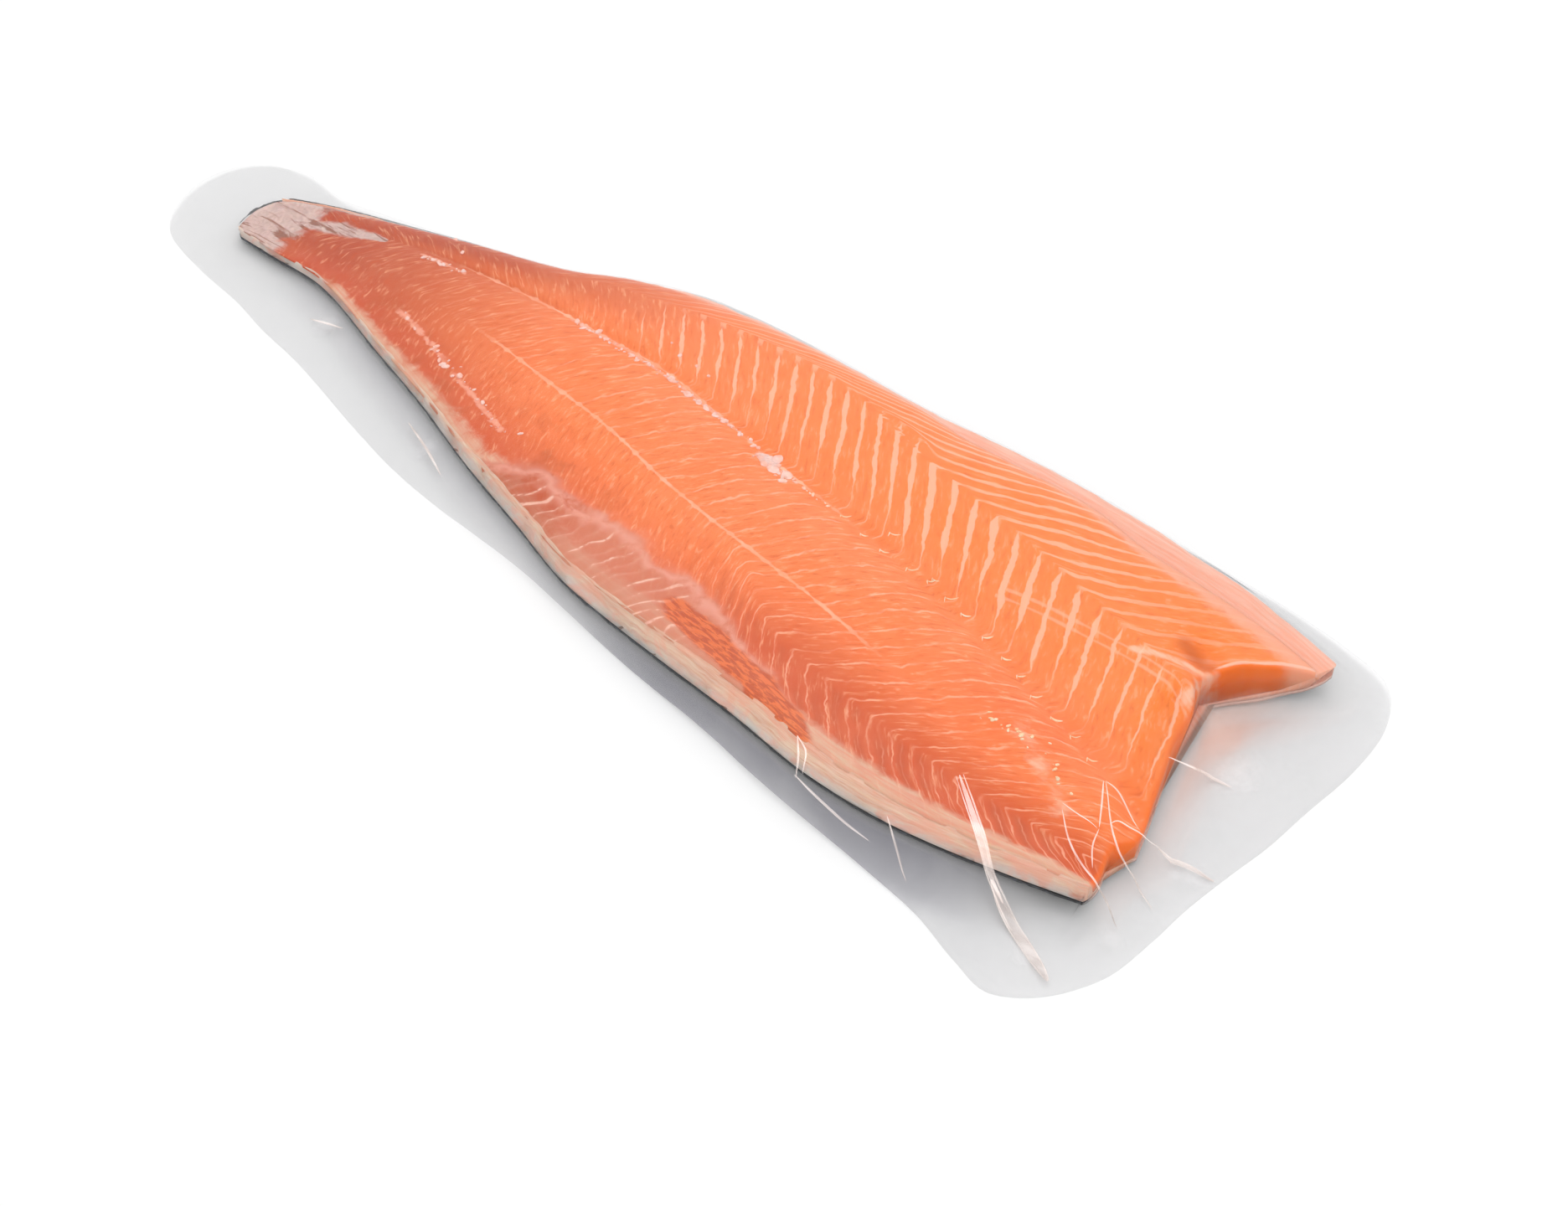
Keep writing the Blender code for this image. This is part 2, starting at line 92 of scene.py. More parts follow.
# Heights along the fillet, as (x, height)
LOIN_HEIGHT = (
    (-290, 10), (-244, 12), (-204, 14.5), (-150, 18.5), (-106, 21), (-65, 23), (-20, 25),
    (71, 27), (161, 28), (230, 27.5), (290, 26),
)
BELLY_RISE = (
    (-290, 2.5), (-204, 4), (-106, 5), (-20, 4.5), (17, 4.8), (50, 6.5), (80, 8), (119, 9),
    (200, 10), (290, 9),
)
BACK_RISE = ((-290, 2.5), (-204, 4), (-106, 6), (-20, 8), (71, 9), (161, 10), (290, 9.5))
BELLY_RIM = (
    (-290, 1.6), (-150, 2), (-65, 3), (0, 4), (60, 6), (119, 8), (180, 8), (240, 6), (290, 4),
)
BACK_RIM = ((-290, 1.6), (-150, 2), (-60, 4), (0, 3.5), (71, 4), (103, 8), (165, 9), (200, 13), (290, 11))
BELLY_CURL = 0.45
BACK_CURL = 0.40

# Flesh thickness across the fillet: -1 is the belly edge, 0 the centre line, 1 the back edge
THICKNESS = (
    (-1, 0.12), (-0.93, 0.27), (-0.8, 0.41), (-0.6, 0.58), (-0.42, 0.71), (-0.2, 0.84), (0, 0.87),
    (0.25, 0.96), (0.5, 1.0), (0.72, 0.91), (0.86, 0.68), (0.95, 0.4), (1, 0.16),
)

# The wavy line that a sheet of fat between two flakes follows across the fillet, as (share, shift)
FLAKE = 11.0
RIB_LINE = -0.42
BEND_AT = (
    (-290, 0.55), (-47, 0.63), (1, 0.7), (51, 0.78), (87, 0.74), (126, 0.61), (178, 0.54), (290, 0.5),
)
BEND_SHIFT = (
    (-290, -8), (-150, -15), (-47, -25), (20, -29), (80, -32), (110, -30), (146, -25), (190, -18), (230, -14),
    (290, -11),
)
HOOK = 6.0
HOOK_AT = 0.07
TURN_PAST_RIBS = 0.25
TURN_SHIFT = 27.0
EDGE_SHIFT = 28.0
RIB_SHIFT = ((-290, -8), (-150, -18), (-60, -30), (130, -40), (290, -40))
BELLY_SHIFT = ((-290, -6), (-60, -12), (290, -14))
BACK_SHIFT = ((-290, -10), (-150, -8), (-47, 10), (60, 36), (130, 44), (290, 44))

# Ends of the flesh, the furrow of the backbone, and the hollow and knob at the neck
END_REACH = 16.0
HEAD_THINNING = 0.42
TAIL_THINNING = 0.5
SQUARE_FROM = 46.0
SQUARE_OVER = 12.0
HEAD_SLOPE_FOOT = ((-75, 275), (-20, 272), (24, 262), (60, 268))
END_ROUNDING = 2.6
FLAP_EDGE = 0.13
FLAP_REACH = 0.16
SPINE_FURROW = 0.8
SPINE_FURROW_WIDTH = 0.045
FURROW_FROM = -200.0
FURROW_GROWS_OVER = 80.0
NECK_SHAPES = ((251, 45, -5.0, 9), (256, 28, 2.5, 8))

# The pouch's rim in plan, from the tail's belly corner round the belly, head, back and tail
RIM_BELLY = (
    (-268, -18), (-235, -24), (-205, -32), (-175, -38), (-120, -53), (-74, -63), (-36, -67), (0, -71),
    (35, -77), (77, -84), (112, -89), (148, -96), (195, -102), (226, -107), (250, -115),
)
RIM_HEAD = (
    (268, -119), (285, -108), (297, -88), (301, -65), (303, -45), (306, -25), (311, -1), (314, 24),
    (318, 52), (317, 78),
)
RIM_BACK = (
    (307, 98), (285, 106), (250, 112), (200, 115), (130, 118), (71, 117), (11, 120), (-48, 118),
    (-84, 109), (-117, 94), (-171, 79), (-225, 66), (-252, 62),
)
RIM_TAIL = ((-280, 66), (-304, 60), (-317, 42), (-316, 16), (-300, -8))

# The photograph's frame and the place it was taken from
VIEW_AZIMUTH = 39.0
VIEW_ELEVATION = 46.0
VIEW_DISTANCE = 0.95
VIEW_TARGET = (0.090, -0.015, 0.0)
LENS = 53.0
SENSOR = 36.0


def smooth_line(points):
    """A function that runs smoothly through (x, y) points given in rising x, for numbers or arrays."""
    xs, ys = np.array(points, float).T
    index = np.arange(len(xs))
    low = np.maximum(index - 1, 0)
    high = np.minimum(index + 1, len(xs) - 1)
    slopes = (ys[high] - ys[low]) / (xs[high] - xs[low])

    def at(x):
        x = np.asarray(x, float)
        i = np.clip(np.searchsorted(xs, x, side="right") - 1, 0, len(xs) - 2)
        span = xs[i + 1] - xs[i]
        t = np.clip((x - xs[i]) / span, 0, 1)
        rise = ys[i] * (2 * t**3 - 3 * t**2 + 1) + ys[i + 1] * (3 * t**2 - 2 * t**3)
        lean = slopes[i] * (t**3 - 2 * t**2 + t) + slopes[i + 1] * (t**3 - t**2)
        before = slopes[0] * np.minimum(x - xs[0], 0)
        after = slopes[-1] * np.maximum(x - xs[-1], 0)
        return rise + lean * span + before + after

    return at


def turned(points):
    """The (x, y) points of a cut as (y, x), in rising y."""
    return tuple(sorted((y, x) for x, y in points))


belly_edge = smooth_line(BELLY_EDGE)
centre_line = smooth_line(CENTRE_LINE)
back_edge = smooth_line(BACK_EDGE)
loin_height = smooth_line(LOIN_HEIGHT)
belly_rise = smooth_line(BELLY_RISE)
back_rise = smooth_line(BACK_RISE)
belly_rim = smooth_line(BELLY_RIM)
back_rim = smooth_line(BACK_RIM)
thickness = smooth_line(THICKNESS)
end_of_head = smooth_line(HEAD_SLOPE_FOOT)
bend_at = smooth_line(BEND_AT)
bend_shift = smooth_line(BEND_SHIFT)
rib_shift = smooth_line(RIB_SHIFT)
belly_shift = smooth_line(BELLY_SHIFT)
back_shift = smooth_line(BACK_SHIFT)


def cut_line(points):
    """A function that gives a cut's x at y, kept level past the cut's two corners."""
    line = smooth_line(turned(points))
    ys = [point[1] for point in points]
    return lambda y: line(np.clip(y, min(ys), max(ys)))


tail_cut_x = cut_line(TAIL_CUT)
head_cut_x = cut_line(HEAD_CUT)


def bump(distance, reach):
    """A rounded hill of height 1 that fades to nothing over about twice its reach."""
    return np.exp(-((distance / reach) ** 2))


def ease(t):
    """A smooth step from 0 to 1."""
    t = np.clip(t, 0, 1)
    return t * t * (3 - 2 * t)


def step(value, low, high):
    """A smooth step from 0 where the value is low to 1 where it is high."""
    return ease((value - low) / (high - low))


def mottle(x, y, cell, seed):
    """Smooth random heights between -1 and 1 over the plan, about one hill or hollow to a cell."""
    lattice = np.random.default_rng(seed).uniform(-1, 1, (128, 128))
    u = np.asarray(x, float) / cell + 61.7
    w = np.asarray(y, float) / cell + 37.3
    i = np.floor(u).astype(int)
    j = np.floor(w).astype(int)
    a = ease(u - i)
    b = ease(w - j)

    def corner(di, dj):
        return lattice[(i + di) % 128, (j + dj) % 128]

    near = corner(0, 0) * (1 - a) + corner(1, 0) * a
    far = corner(0, 1) * (1 - a) + corner(1, 1) * a
    return near * (1 - b) + far * b


def under(x, y):
    """Height of the fillet's underside: flat in the middle, curling up at both edges."""
    centre = centre_line(x)
    belly = BELLY_CURL * (centre - belly_edge(x))
    back = BACK_CURL * (back_edge(x) - centre)
    on_belly = belly_rise(x) * np.maximum((belly_edge(x) + belly - y) / belly, 0) ** 2
    on_back = back_rise(x) * np.maximum((y - back_edge(x) + back) / back, 0) ** 2
    return np.where(y < centre, on_belly, on_back)


def across(x, v, belly_inset=0.0, back_inset=0.0):
    """The y of the share v of the fillet's width, at x."""
    centre = centre_line(x)
    on_belly = centre + v * (centre - belly_edge(x) - belly_inset)
    on_back = centre + v * (back_edge(x) - back_inset - centre)
    return np.where(v < 0, on_belly, on_back)


def flake_shift(x, v):
    """How far along the fillet the sheet of fat that crosses the centre line at x lies at share v.

    It runs straight from the centre line to the rib line, turns there, and turns again at the loin's bend.
    Towards the head it runs on past the rib line before it turns.
    """
    x, v = np.broadcast_arrays(np.asarray(x, float), np.asarray(v, float))
    rib = rib_shift(x)
    bend = bend_at(x)
    at_bend = bend_shift(x)
    to_ribs = rib * np.clip(v / RIB_LINE, 0, 1) ** 0.8
    further = step(x, 90, 190)
    past_ribs = np.clip((RIB_LINE - v) / (TURN_PAST_RIBS * further + 1e-6), 0, 1)
    turn = RIB_LINE - TURN_PAST_RIBS * further
    past_turn = np.clip((v - turn) / (-1 - turn), 0, 1)
    at_turn = rib - TURN_SHIFT * further
    at_edge = belly_shift(x) - EDGE_SHIFT * further
    flap = rib + (at_turn - rib) * past_ribs + (at_edge - at_turn) * past_turn ** (1.9 - 0.7 * further)
    loin = np.clip(v / bend, 0, 1)
    hook = HOOK * ease(v / HOOK_AT) * step(x, -60, 20)
    to_bend = hook + (at_bend - hook) * loin
    past_bend = np.clip((v - bend) / (1 - bend), 0, 1)
    back = at_bend + (back_shift(x) - at_bend) * past_bend ** 0.78
    belly_side = np.where(v < RIB_LINE, flap, to_ribs)
    return np.where(v < 0, belly_side, np.where(v < bend, to_bend, back))


def flake_phase(x, v):
    """Which sheet of fat a point lies on, counted in flakes along the centre line."""
    start = np.asarray(x, float)
    for _ in range(9):
        start = x - flake_shift(start, v)
    return start / FLAKE


def end_slope(x, y):
    """Share of the flesh's thickness left near its ends: the belly's end thins out, the loin is square."""
    head = ease((x - end_of_head(y) + END_REACH) / END_REACH)
    tail = ease((TAIL_CUT[2][0] + END_REACH - x) / END_REACH)
    sloped = ease((SQUARE_FROM - y) / SQUARE_OVER)
    return 1 - HEAD_THINNING * head * sloped - TAIL_THINNING * tail


def flesh_share(x, y):
    """The share of the flesh's own half width at which a point of the plan lies."""
    centre = centre_line(x)
    belly = centre - belly_edge(x) - belly_rim(x)
    back = back_edge(x) - back_rim(x) - centre
    return np.where(y < centre, (y - centre) / belly, (y - centre) / back)


def flesh_body(x, y, v):
    """Height of the flesh's top without its fine relief."""
    flap = FLAP_EDGE * bump(v + 1, FLAP_REACH) * step(x, -120, 60)
    height = (loin_height(x) - FLESH_FROM) * (thickness(v) + flap) * end_slope(x, y)
    deepening = step(x, FURROW_FROM, FURROW_FROM + FURROW_GROWS_OVER)
    height -= SPINE_FURROW * bump(v, SPINE_FURROW_WIDTH) * deepening
    for at_x, at_y, size, reach in NECK_SHAPES:
        height += size * bump(np.hypot(x - at_x, y - at_y), reach)
    return under(x, y) + FLESH_FROM + height


def lanes(v, t, belly_inset=None, back_inset=None):
    """Points of lanes that run from the tail cut to the head cut: x, y and the distance to the nearer end.

    Rows are the shares t of a lane's length and columns are the lanes' shares v of the width.
    """
    def y_at(x):
        belly = belly_inset(x) if belly_inset else 0.0
        back = back_inset(x) if back_inset else 0.0
        return across(x, v, belly, back)

    tail = np.full(v.shape, -262.0)
    head = np.full(v.shape, 270.0)
    for _ in range(12):
        tail = 0.5 * (tail + tail_cut_x(y_at(tail)))
        head = 0.5 * (head + head_cut_x(y_at(head)))
    x = tail + (head - tail) * t[:, None]
    return x, y_at(x), np.minimum(x - tail, head - x)


def ring_shares(count, fine=6):
    """Shares of a lane's length for its rings, closer together in the last millimetres of both ends."""
    length = 530.0
    near = END_ROUNDING / length
    finer = near * np.linspace(0, 1, fine, endpoint=False) ** 1.6
    middle = np.linspace(near, 1 - near, count - 2 * fine)
    return np.concatenate([finer, middle, (1 - finer)[::-1]])


def mesh_object(name, points, faces, fields=(), edges=()):
    """An object from points in millimetres, with named attributes: one, three or four numbers a point."""
    mesh = bpy.data.meshes.new(name)
    mesh.from_pydata((np.asarray(points) * MM).tolist(), edges, faces)
    for label, values in fields:
        values = np.asarray(values, np.float32)
        kind, key = {1: ("FLOAT", "value"), 3: ("FLOAT_VECTOR", "vector"), 4: ("FLOAT_COLOR", "color")}[
            1 if values.ndim == 1 else values.shape[1]
        ]
        attribute = mesh.attributes.new(label, kind, "POINT")
        attribute.data.foreach_set(key, values.ravel())
    mesh.shade_smooth()
    obj = bpy.data.objects.new(name, mesh)
    bpy.context.collection.objects.link(obj)
    return obj


def sheet_faces(rows, columns, wrap=False, start=0):
    """Quads of a grid of points stored row by row; wrap joins its last column to its first."""
    row = np.arange(rows - 1)[:, None] * columns
    column = np.arange(columns if wrap else columns - 1)[None]
    after = (column + 1) % columns
    quads = np.stack([row + column, row + columns + column, row + columns + after, row + after], axis=-1)
    return (quads.reshape(-1, 4) + start).tolist()


def cap_faces(upper, lower, upper_at, lower_at):
    """Triangles between two chains of point numbers that run side by side across the fillet."""
    faces = []
    i = 0
    j = 0
    while i < len(upper) - 1 or j < len(lower) - 1:
        up = i < len(upper) - 1 and (j == len(lower) - 1 or upper_at[i + 1] <= lower_at[j + 1])
        if up:
            faces.append((upper[i], upper[i + 1], lower[j]))
            i += 1
        else:
            faces.append((upper[i], lower[j + 1], lower[j]))
            j += 1
    return faces


def layer_object(name, upper, lower, fields):
    """A closed layer of the fillet from its upper and lower points, as rings of (x, y, z) from tail to head.

    fields gives (label, upper values, lower values) of each attribute.
    """
    rings, count = upper.shape[:2]
    points = np.concatenate([upper, lower[:, ::-1]], axis=1)
    around = points.shape[1]
    faces = sheet_faces(rings, around, wrap=True)
    low = list(range(around - 1, count - 1, -1))
    cap = cap_faces(list(range(count)), low, upper[0, :, 1], lower[0, :, 1])
    faces += cap
    last = (rings - 1) * around
    ends = [last + k for k in range(count)], [last + k for k in low]
    cap = cap_faces(*ends, upper[-1, :, 1], lower[-1, :, 1])
    faces += [face[::-1] for face in cap]
    flat = [
        (label, np.concatenate([high, below[:, ::-1]], axis=1).reshape(rings * around, -1).squeeze())
        for label, high, below in fields
    ]
    return mesh_object(name, points.reshape(-1, 3), outward(points.reshape(-1, 3), faces), flat)


def outward(points, faces):
    """The faces of a closed body, turned round if they point into it."""
    volume = 0.0
    for size in (3, 4):
        corners = points[np.array([face for face in faces if len(face) == size], int).reshape(-1, size)]
        for k in range(1, size - 1):
            volume += np.einsum("ij,ij", corners[:, 0], np.cross(corners[:, k], corners[:, k + 1]))
    return faces if volume > 0 else [face[::-1] for face in faces]


def finish_piece(obj, slot, *nodes):
    """Makes a piece ride on the pack and hides the solids that it stands for; slot, the finish it would take,
    is not used.
    """
    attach(obj, BODY)
    if nodes:
        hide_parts(*nodes)
    return obj


def srgb(red, green, blue):
    """A screen colour given as 0 to 255, as the linear colour that a socket takes."""
    shares = (red / 255, green / 255, blue / 255)
    return tuple(c / 12.92 if c <= 0.04045 else ((c + 0.055) / 1.055) ** 2.4 for c in shares)


class Net:
    """A node tree, with short calls for the nodes that the materials use most."""

    def __init__(self, tree):
        self.tree = tree

    def add(self, kind, **settings):
        node = self.tree.nodes.new(kind)
        for name, value in settings.items():
            setattr(node, name, value)
        return node

    def put(self, socket, value):
        """Links a socket to another node's output, or sets it to a plain value."""
        if isinstance(value, bpy.types.NodeSocket):
            self.tree.links.new(value, socket)
        elif hasattr(value, "__len__") and len(value) == 3 and socket.type == "RGBA":
            socket.default_value = (*value, 1)
        else:
            socket.default_value = value

    def math(self, operation, *values, clamp=False):
        node = self.add("ShaderNodeMath", operation=operation, use_clamp=clamp)
        for socket, value in zip(node.inputs, values):
            self.put(socket, value)
        return node.outputs[0]

    def scaled(self, value, factor, offset=0.0):
        return self.math("MULTIPLY_ADD", value, factor, offset)

    def product(self, first, *rest):
        for value in rest:
            first = self.math("MULTIPLY", first, value)
        return first

    def either(self, first, *rest):
        for value in rest:
            first = self.math("MAXIMUM", first, value)
        return first

    def fade(self, value, low, high, to_low=0.0, to_high=1.0):
        """A smooth step of a value, from to_low at low to to_high at high."""
        node = self.add("ShaderNodeMapRange", interpolation_type="SMOOTHSTEP")
        for socket, number in zip(node.inputs, (value, low, high, to_low, to_high)):
            self.put(socket, number)
        return node.outputs[0]

    def mix(self, share, first, second, blend="MIX"):
        node = self.add("ShaderNodeMix", data_type="RGBA", blend_type=blend)
        self.put(node.inputs[0], share)
        self.put(node.inputs[6], first)
        self.put(node.inputs[7], second)
        return node.outputs[2]

    def noise(self, place, scale, detail=2.0, roughness=0.5, distortion=0.0):
        node = self.add("ShaderNodeTexNoise")
        self.put(node.inputs["Vector"], place)
        self.put(node.inputs["Scale"], scale)
        self.put(node.inputs["Detail"], detail)
        self.put(node.inputs["Roughness"], roughness)
        self.put(node.inputs["Distortion"], distortion)
        return node.outputs["Fac"]

    def stretched(self, place, factors):
        node = self.add("ShaderNodeMapping")
        self.put(node.inputs["Vector"], place)
        self.put(node.inputs["Scale"], factors)
        return node.outputs[0]

    def field(self, name, output="Vector"):
        return self.add("ShaderNodeAttribute", attribute_name=name).outputs[output]

    def vector(self, *values):
        node = self.add("ShaderNodeCombineXYZ")
        for socket, value in zip(node.inputs, values):
            self.put(socket, value)
        return node.outputs[0]

    def parts(self, vector):
        node = self.add("ShaderNodeSeparateXYZ")
        self.put(node.inputs[0], vector)
        return node.outputs[0], node.outputs[1], node.outputs[2]

    def place(self):
        return self.add("ShaderNodeTexCoord").outputs["Object"]

    def group(self, name, **values):
        node = self.add("ShaderNodeGroup", node_tree=bpy.data.node_groups[name])
        for label, value in values.items():
            self.put(node.inputs[label.replace("_", " ")], value)
        return node.outputs

    def bump(self, height, distance, strength=1.0, normal=None):
        node = self.add("ShaderNodeBump")
        node.inputs["Distance"].default_value = distance
        node.inputs["Strength"].default_value = strength
        self.put(node.inputs["Height"], height)
        if normal:
            self.put(node.inputs["Normal"], normal)
        return node.outputs[0]


def new_material(name, **sockets):
    """A material with its Principled shader's plain sockets set, and the net of its nodes."""
    material = bpy.data.materials.new(name)
    material.use_nodes = True
    net = Net(material.node_tree)
    shader = material.node_tree.nodes["Principled BSDF"]
    for label, value in sockets.items():
        net.put(shader.inputs[label.replace("_", " ")], value)
    return material, net, shader


def group_sockets(tree, inputs, outputs):
    """Names a node group's inputs and outputs, each as (name, socket kind, default)."""
    for direction, sockets in (("INPUT", inputs), ("OUTPUT", outputs)):
        for name, kind, default in sockets:
            socket = tree.interface.new_socket(name, in_out=direction, socket_type="NodeSocket" + kind)
            if default is not None:
                socket.default_value = default
    return tree.nodes.new("NodeGroupInput"), tree.nodes.new("NodeGroupOutput")


def make_mottle_group():
    """Blotches of two sizes: a mask from 0 to 1 round its middle, for uneven colour."""
    tree = bpy.data.node_groups.new("Mottle", "ShaderNodeTree")
    start, end = group_sockets(
        tree,
        (("Place", "Vector", None), ("Scale", "Float", 30.0), ("Fine Share", "Float", 0.35)),
        (("Mask", "Float", None),),
    )
    net = Net(tree)
    broad = net.noise(start.outputs["Place"], start.outputs["Scale"], detail=3.0)
    fine = net.noise(start.outputs["Place"], net.scaled(start.outputs["Scale"], 7.0), detail=2.0)
    node = net.add("ShaderNodeMix", data_type="FLOAT")
    net.put(node.inputs[0], start.outputs["Fine Share"])
    net.put(node.inputs[2], broad)
    net.put(node.inputs[3], fine)
    net.put(end.inputs["Mask"], net.fade(node.outputs[0], 0.3, 0.7))


def make_fibre_group():
    """Fibres that run along a lane: a mask from 0 to 1 that changes quickly across it and slowly along it."""
    tree = bpy.data.node_groups.new("Fibres", "ShaderNodeTree")
    start, end = group_sockets(
        tree,
        (("Lane", "Vector", None), ("Across", "Float", 1.0), ("Along", "Float", 0.06)),
        (("Mask", "Float", None),),
    )
    net = Net(tree)
    node = net.add("ShaderNodeCombineXYZ")
    net.put(node.inputs[0], start.outputs["Along"])
    net.put(node.inputs[1], start.outputs["Across"])
    stretched = net.add("ShaderNodeVectorMath", operation="MULTIPLY")
    net.put(stretched.inputs[0], start.outputs["Lane"])
    net.put(stretched.inputs[1], node.outputs[0])
    mask = net.noise(stretched.outputs[0], 1.0, detail=4.0, roughness=0.6, distortion=0.4)
    net.put(end.inputs["Mask"], net.fade(mask, 0.3, 0.7))


# How finely the pieces are divided
FLESH_RINGS = 520
FLESH_LANES = 150
LAYER_RINGS = 300
RIM_LANES = 9
UNDER_LANES = (-0.995, -0.86, -0.7, -0.55, -0.2, 0.2, 0.6, 0.75, 0.88, 0.995)

# Fine relief of the flesh
GROOVE_DEPTH = 0.2
GROOVE_WIDTH = 1.1
BELLY_GROOVES = 0.45
EDGE_SMOOTH = 0.12
LUMPINESS = 0.16
LUMP_CELL = 7.0
WRINKLE = 6.1
WRINKLE_HEIGHT = 0.9
LOBE_HEIGHT = 0.8
STRAND_HEIGHT = 0.1

# The pinkish membrane on the belly: the line that it starts at, and the middle of the rough patch on it
MEMBRANE_LINE = (
    (-150, -16), (-93, -30), (-62, -40), (-41, -34), (-27, -30), (-7, -33.5), (15, -35), (33, -37.6),
    (53.5, -41.5), (70, -44), (85, -49), (100, -54.5), (126, -63), (144, -72), (165, -80), (200, -88),
)
ROUGH_LINE = ((55, -56), (84, -60), (112, -67), (138, -75), (165, -83))
# The double band of fat that crosses the loin near the head, and the pale tissue at the neck
BAND_LINE = ((160, 22), (180, 25), (205, 26.6), (240, 27), (262, 22))
# Shreds of pale tissue along the ribs and the backbone, as (half width, points)
TISSUE_LINES = (
    (2.3, ((-158, 10), (-140, 4.6), (-127, 1), (-103, -8), (-80, -16), (-55, -24))),
    (1.5, ((-178, 44), (-150, 45))),
    (1.4, ((-86, 49), (-50, 47.5), (-16, 43), (20, 36))),
    (2.6, ((40, 29), (60, 25))),
)
membrane_line = smooth_line(MEMBRANE_LINE)
rough_line = smooth_line(ROUGH_LINE)
band_line = smooth_line(BAND_LINE)


def near_segment(x, y, start, end, reach):
    """A rounded hill along a straight stretch of the plan."""
    along = np.array(end, float) - start
    t = ((x - start[0]) * along[0] + (y - start[1]) * along[1]) / (along @ along)
    t = np.clip(t, 0, 1)
    return bump(np.hypot(x - start[0] - along[0] * t, y - start[1] - along[1] * t), reach)


def membrane_shape(x, y):
    """The belly's membrane as masks: where it lies, its lobed edge, its wrinkles and the rough patch."""
    border = membrane_line(x) + 3.0 * mottle(x, y, 10.0, 41) + 1.8 * mottle(x, y, 4.2, 42)
    depth = border - y
    along = step(x, -150, -70) * (1 - step(x, 110, 160))
    veil = step(depth, -0.8, 1.4) * along
    lobe = bump((depth - 3.2) / 3.4, 1.0) * along * step(x, -75, -40)
    wave = 0.88 * x - 0.47 * y + 4.5 * mottle(x, y, 17.0, 43) + 2.2 * mottle(x, y, 7.0, 44)
    strength = 0.58 + 0.42 * mottle(0.8 * wave, 0.25 * (x + y), 4.0, 45)
    ridge = (1 - np.abs(np.sin(wave * math.pi / WRINKLE))) ** 2.2 * strength
    wrinkled = veil * step(depth, 2, 8) * step(x, -110, -30) * (1 - step(x, 70, 105))
    rough = bump((y - rough_line(x) + 2 * mottle(x, y, 8.0, 47)) / 7.5, 1.0)
    rough = rough * step(x, 52, 72) * (1 - step(x, 135, 175))
    return veil, lobe, ridge * wrinkled, rough


def flesh_relief(x, y, v):
    """Fine height on the flesh: grooves between flakes, unevenness, and the belly's membrane."""
    phase = flake_phase(x, v) + 0.05 * mottle(x, y, 9.0, 3)
    distance = np.abs(phase - np.round(phase)) * FLAKE
    side = np.where(v > 0, 1.0, BELLY_GROOVES)
    height = -GROOVE_DEPTH * side * bump(distance, GROOVE_WIDTH)
    height += LUMPINESS * mottle(x, y, LUMP_CELL, 5)
    veil, lobe, ridge, rough = membrane_shape(x, y)
    height += LOBE_HEIGHT * lobe + WRINKLE_HEIGHT * ridge - 0.4 * veil
    height += STRAND_HEIGHT * rough * mottle(0.16 * x, v * 62, 1.0, 46)
    return height * ease((1 - np.abs(v)) / EDGE_SMOOTH)


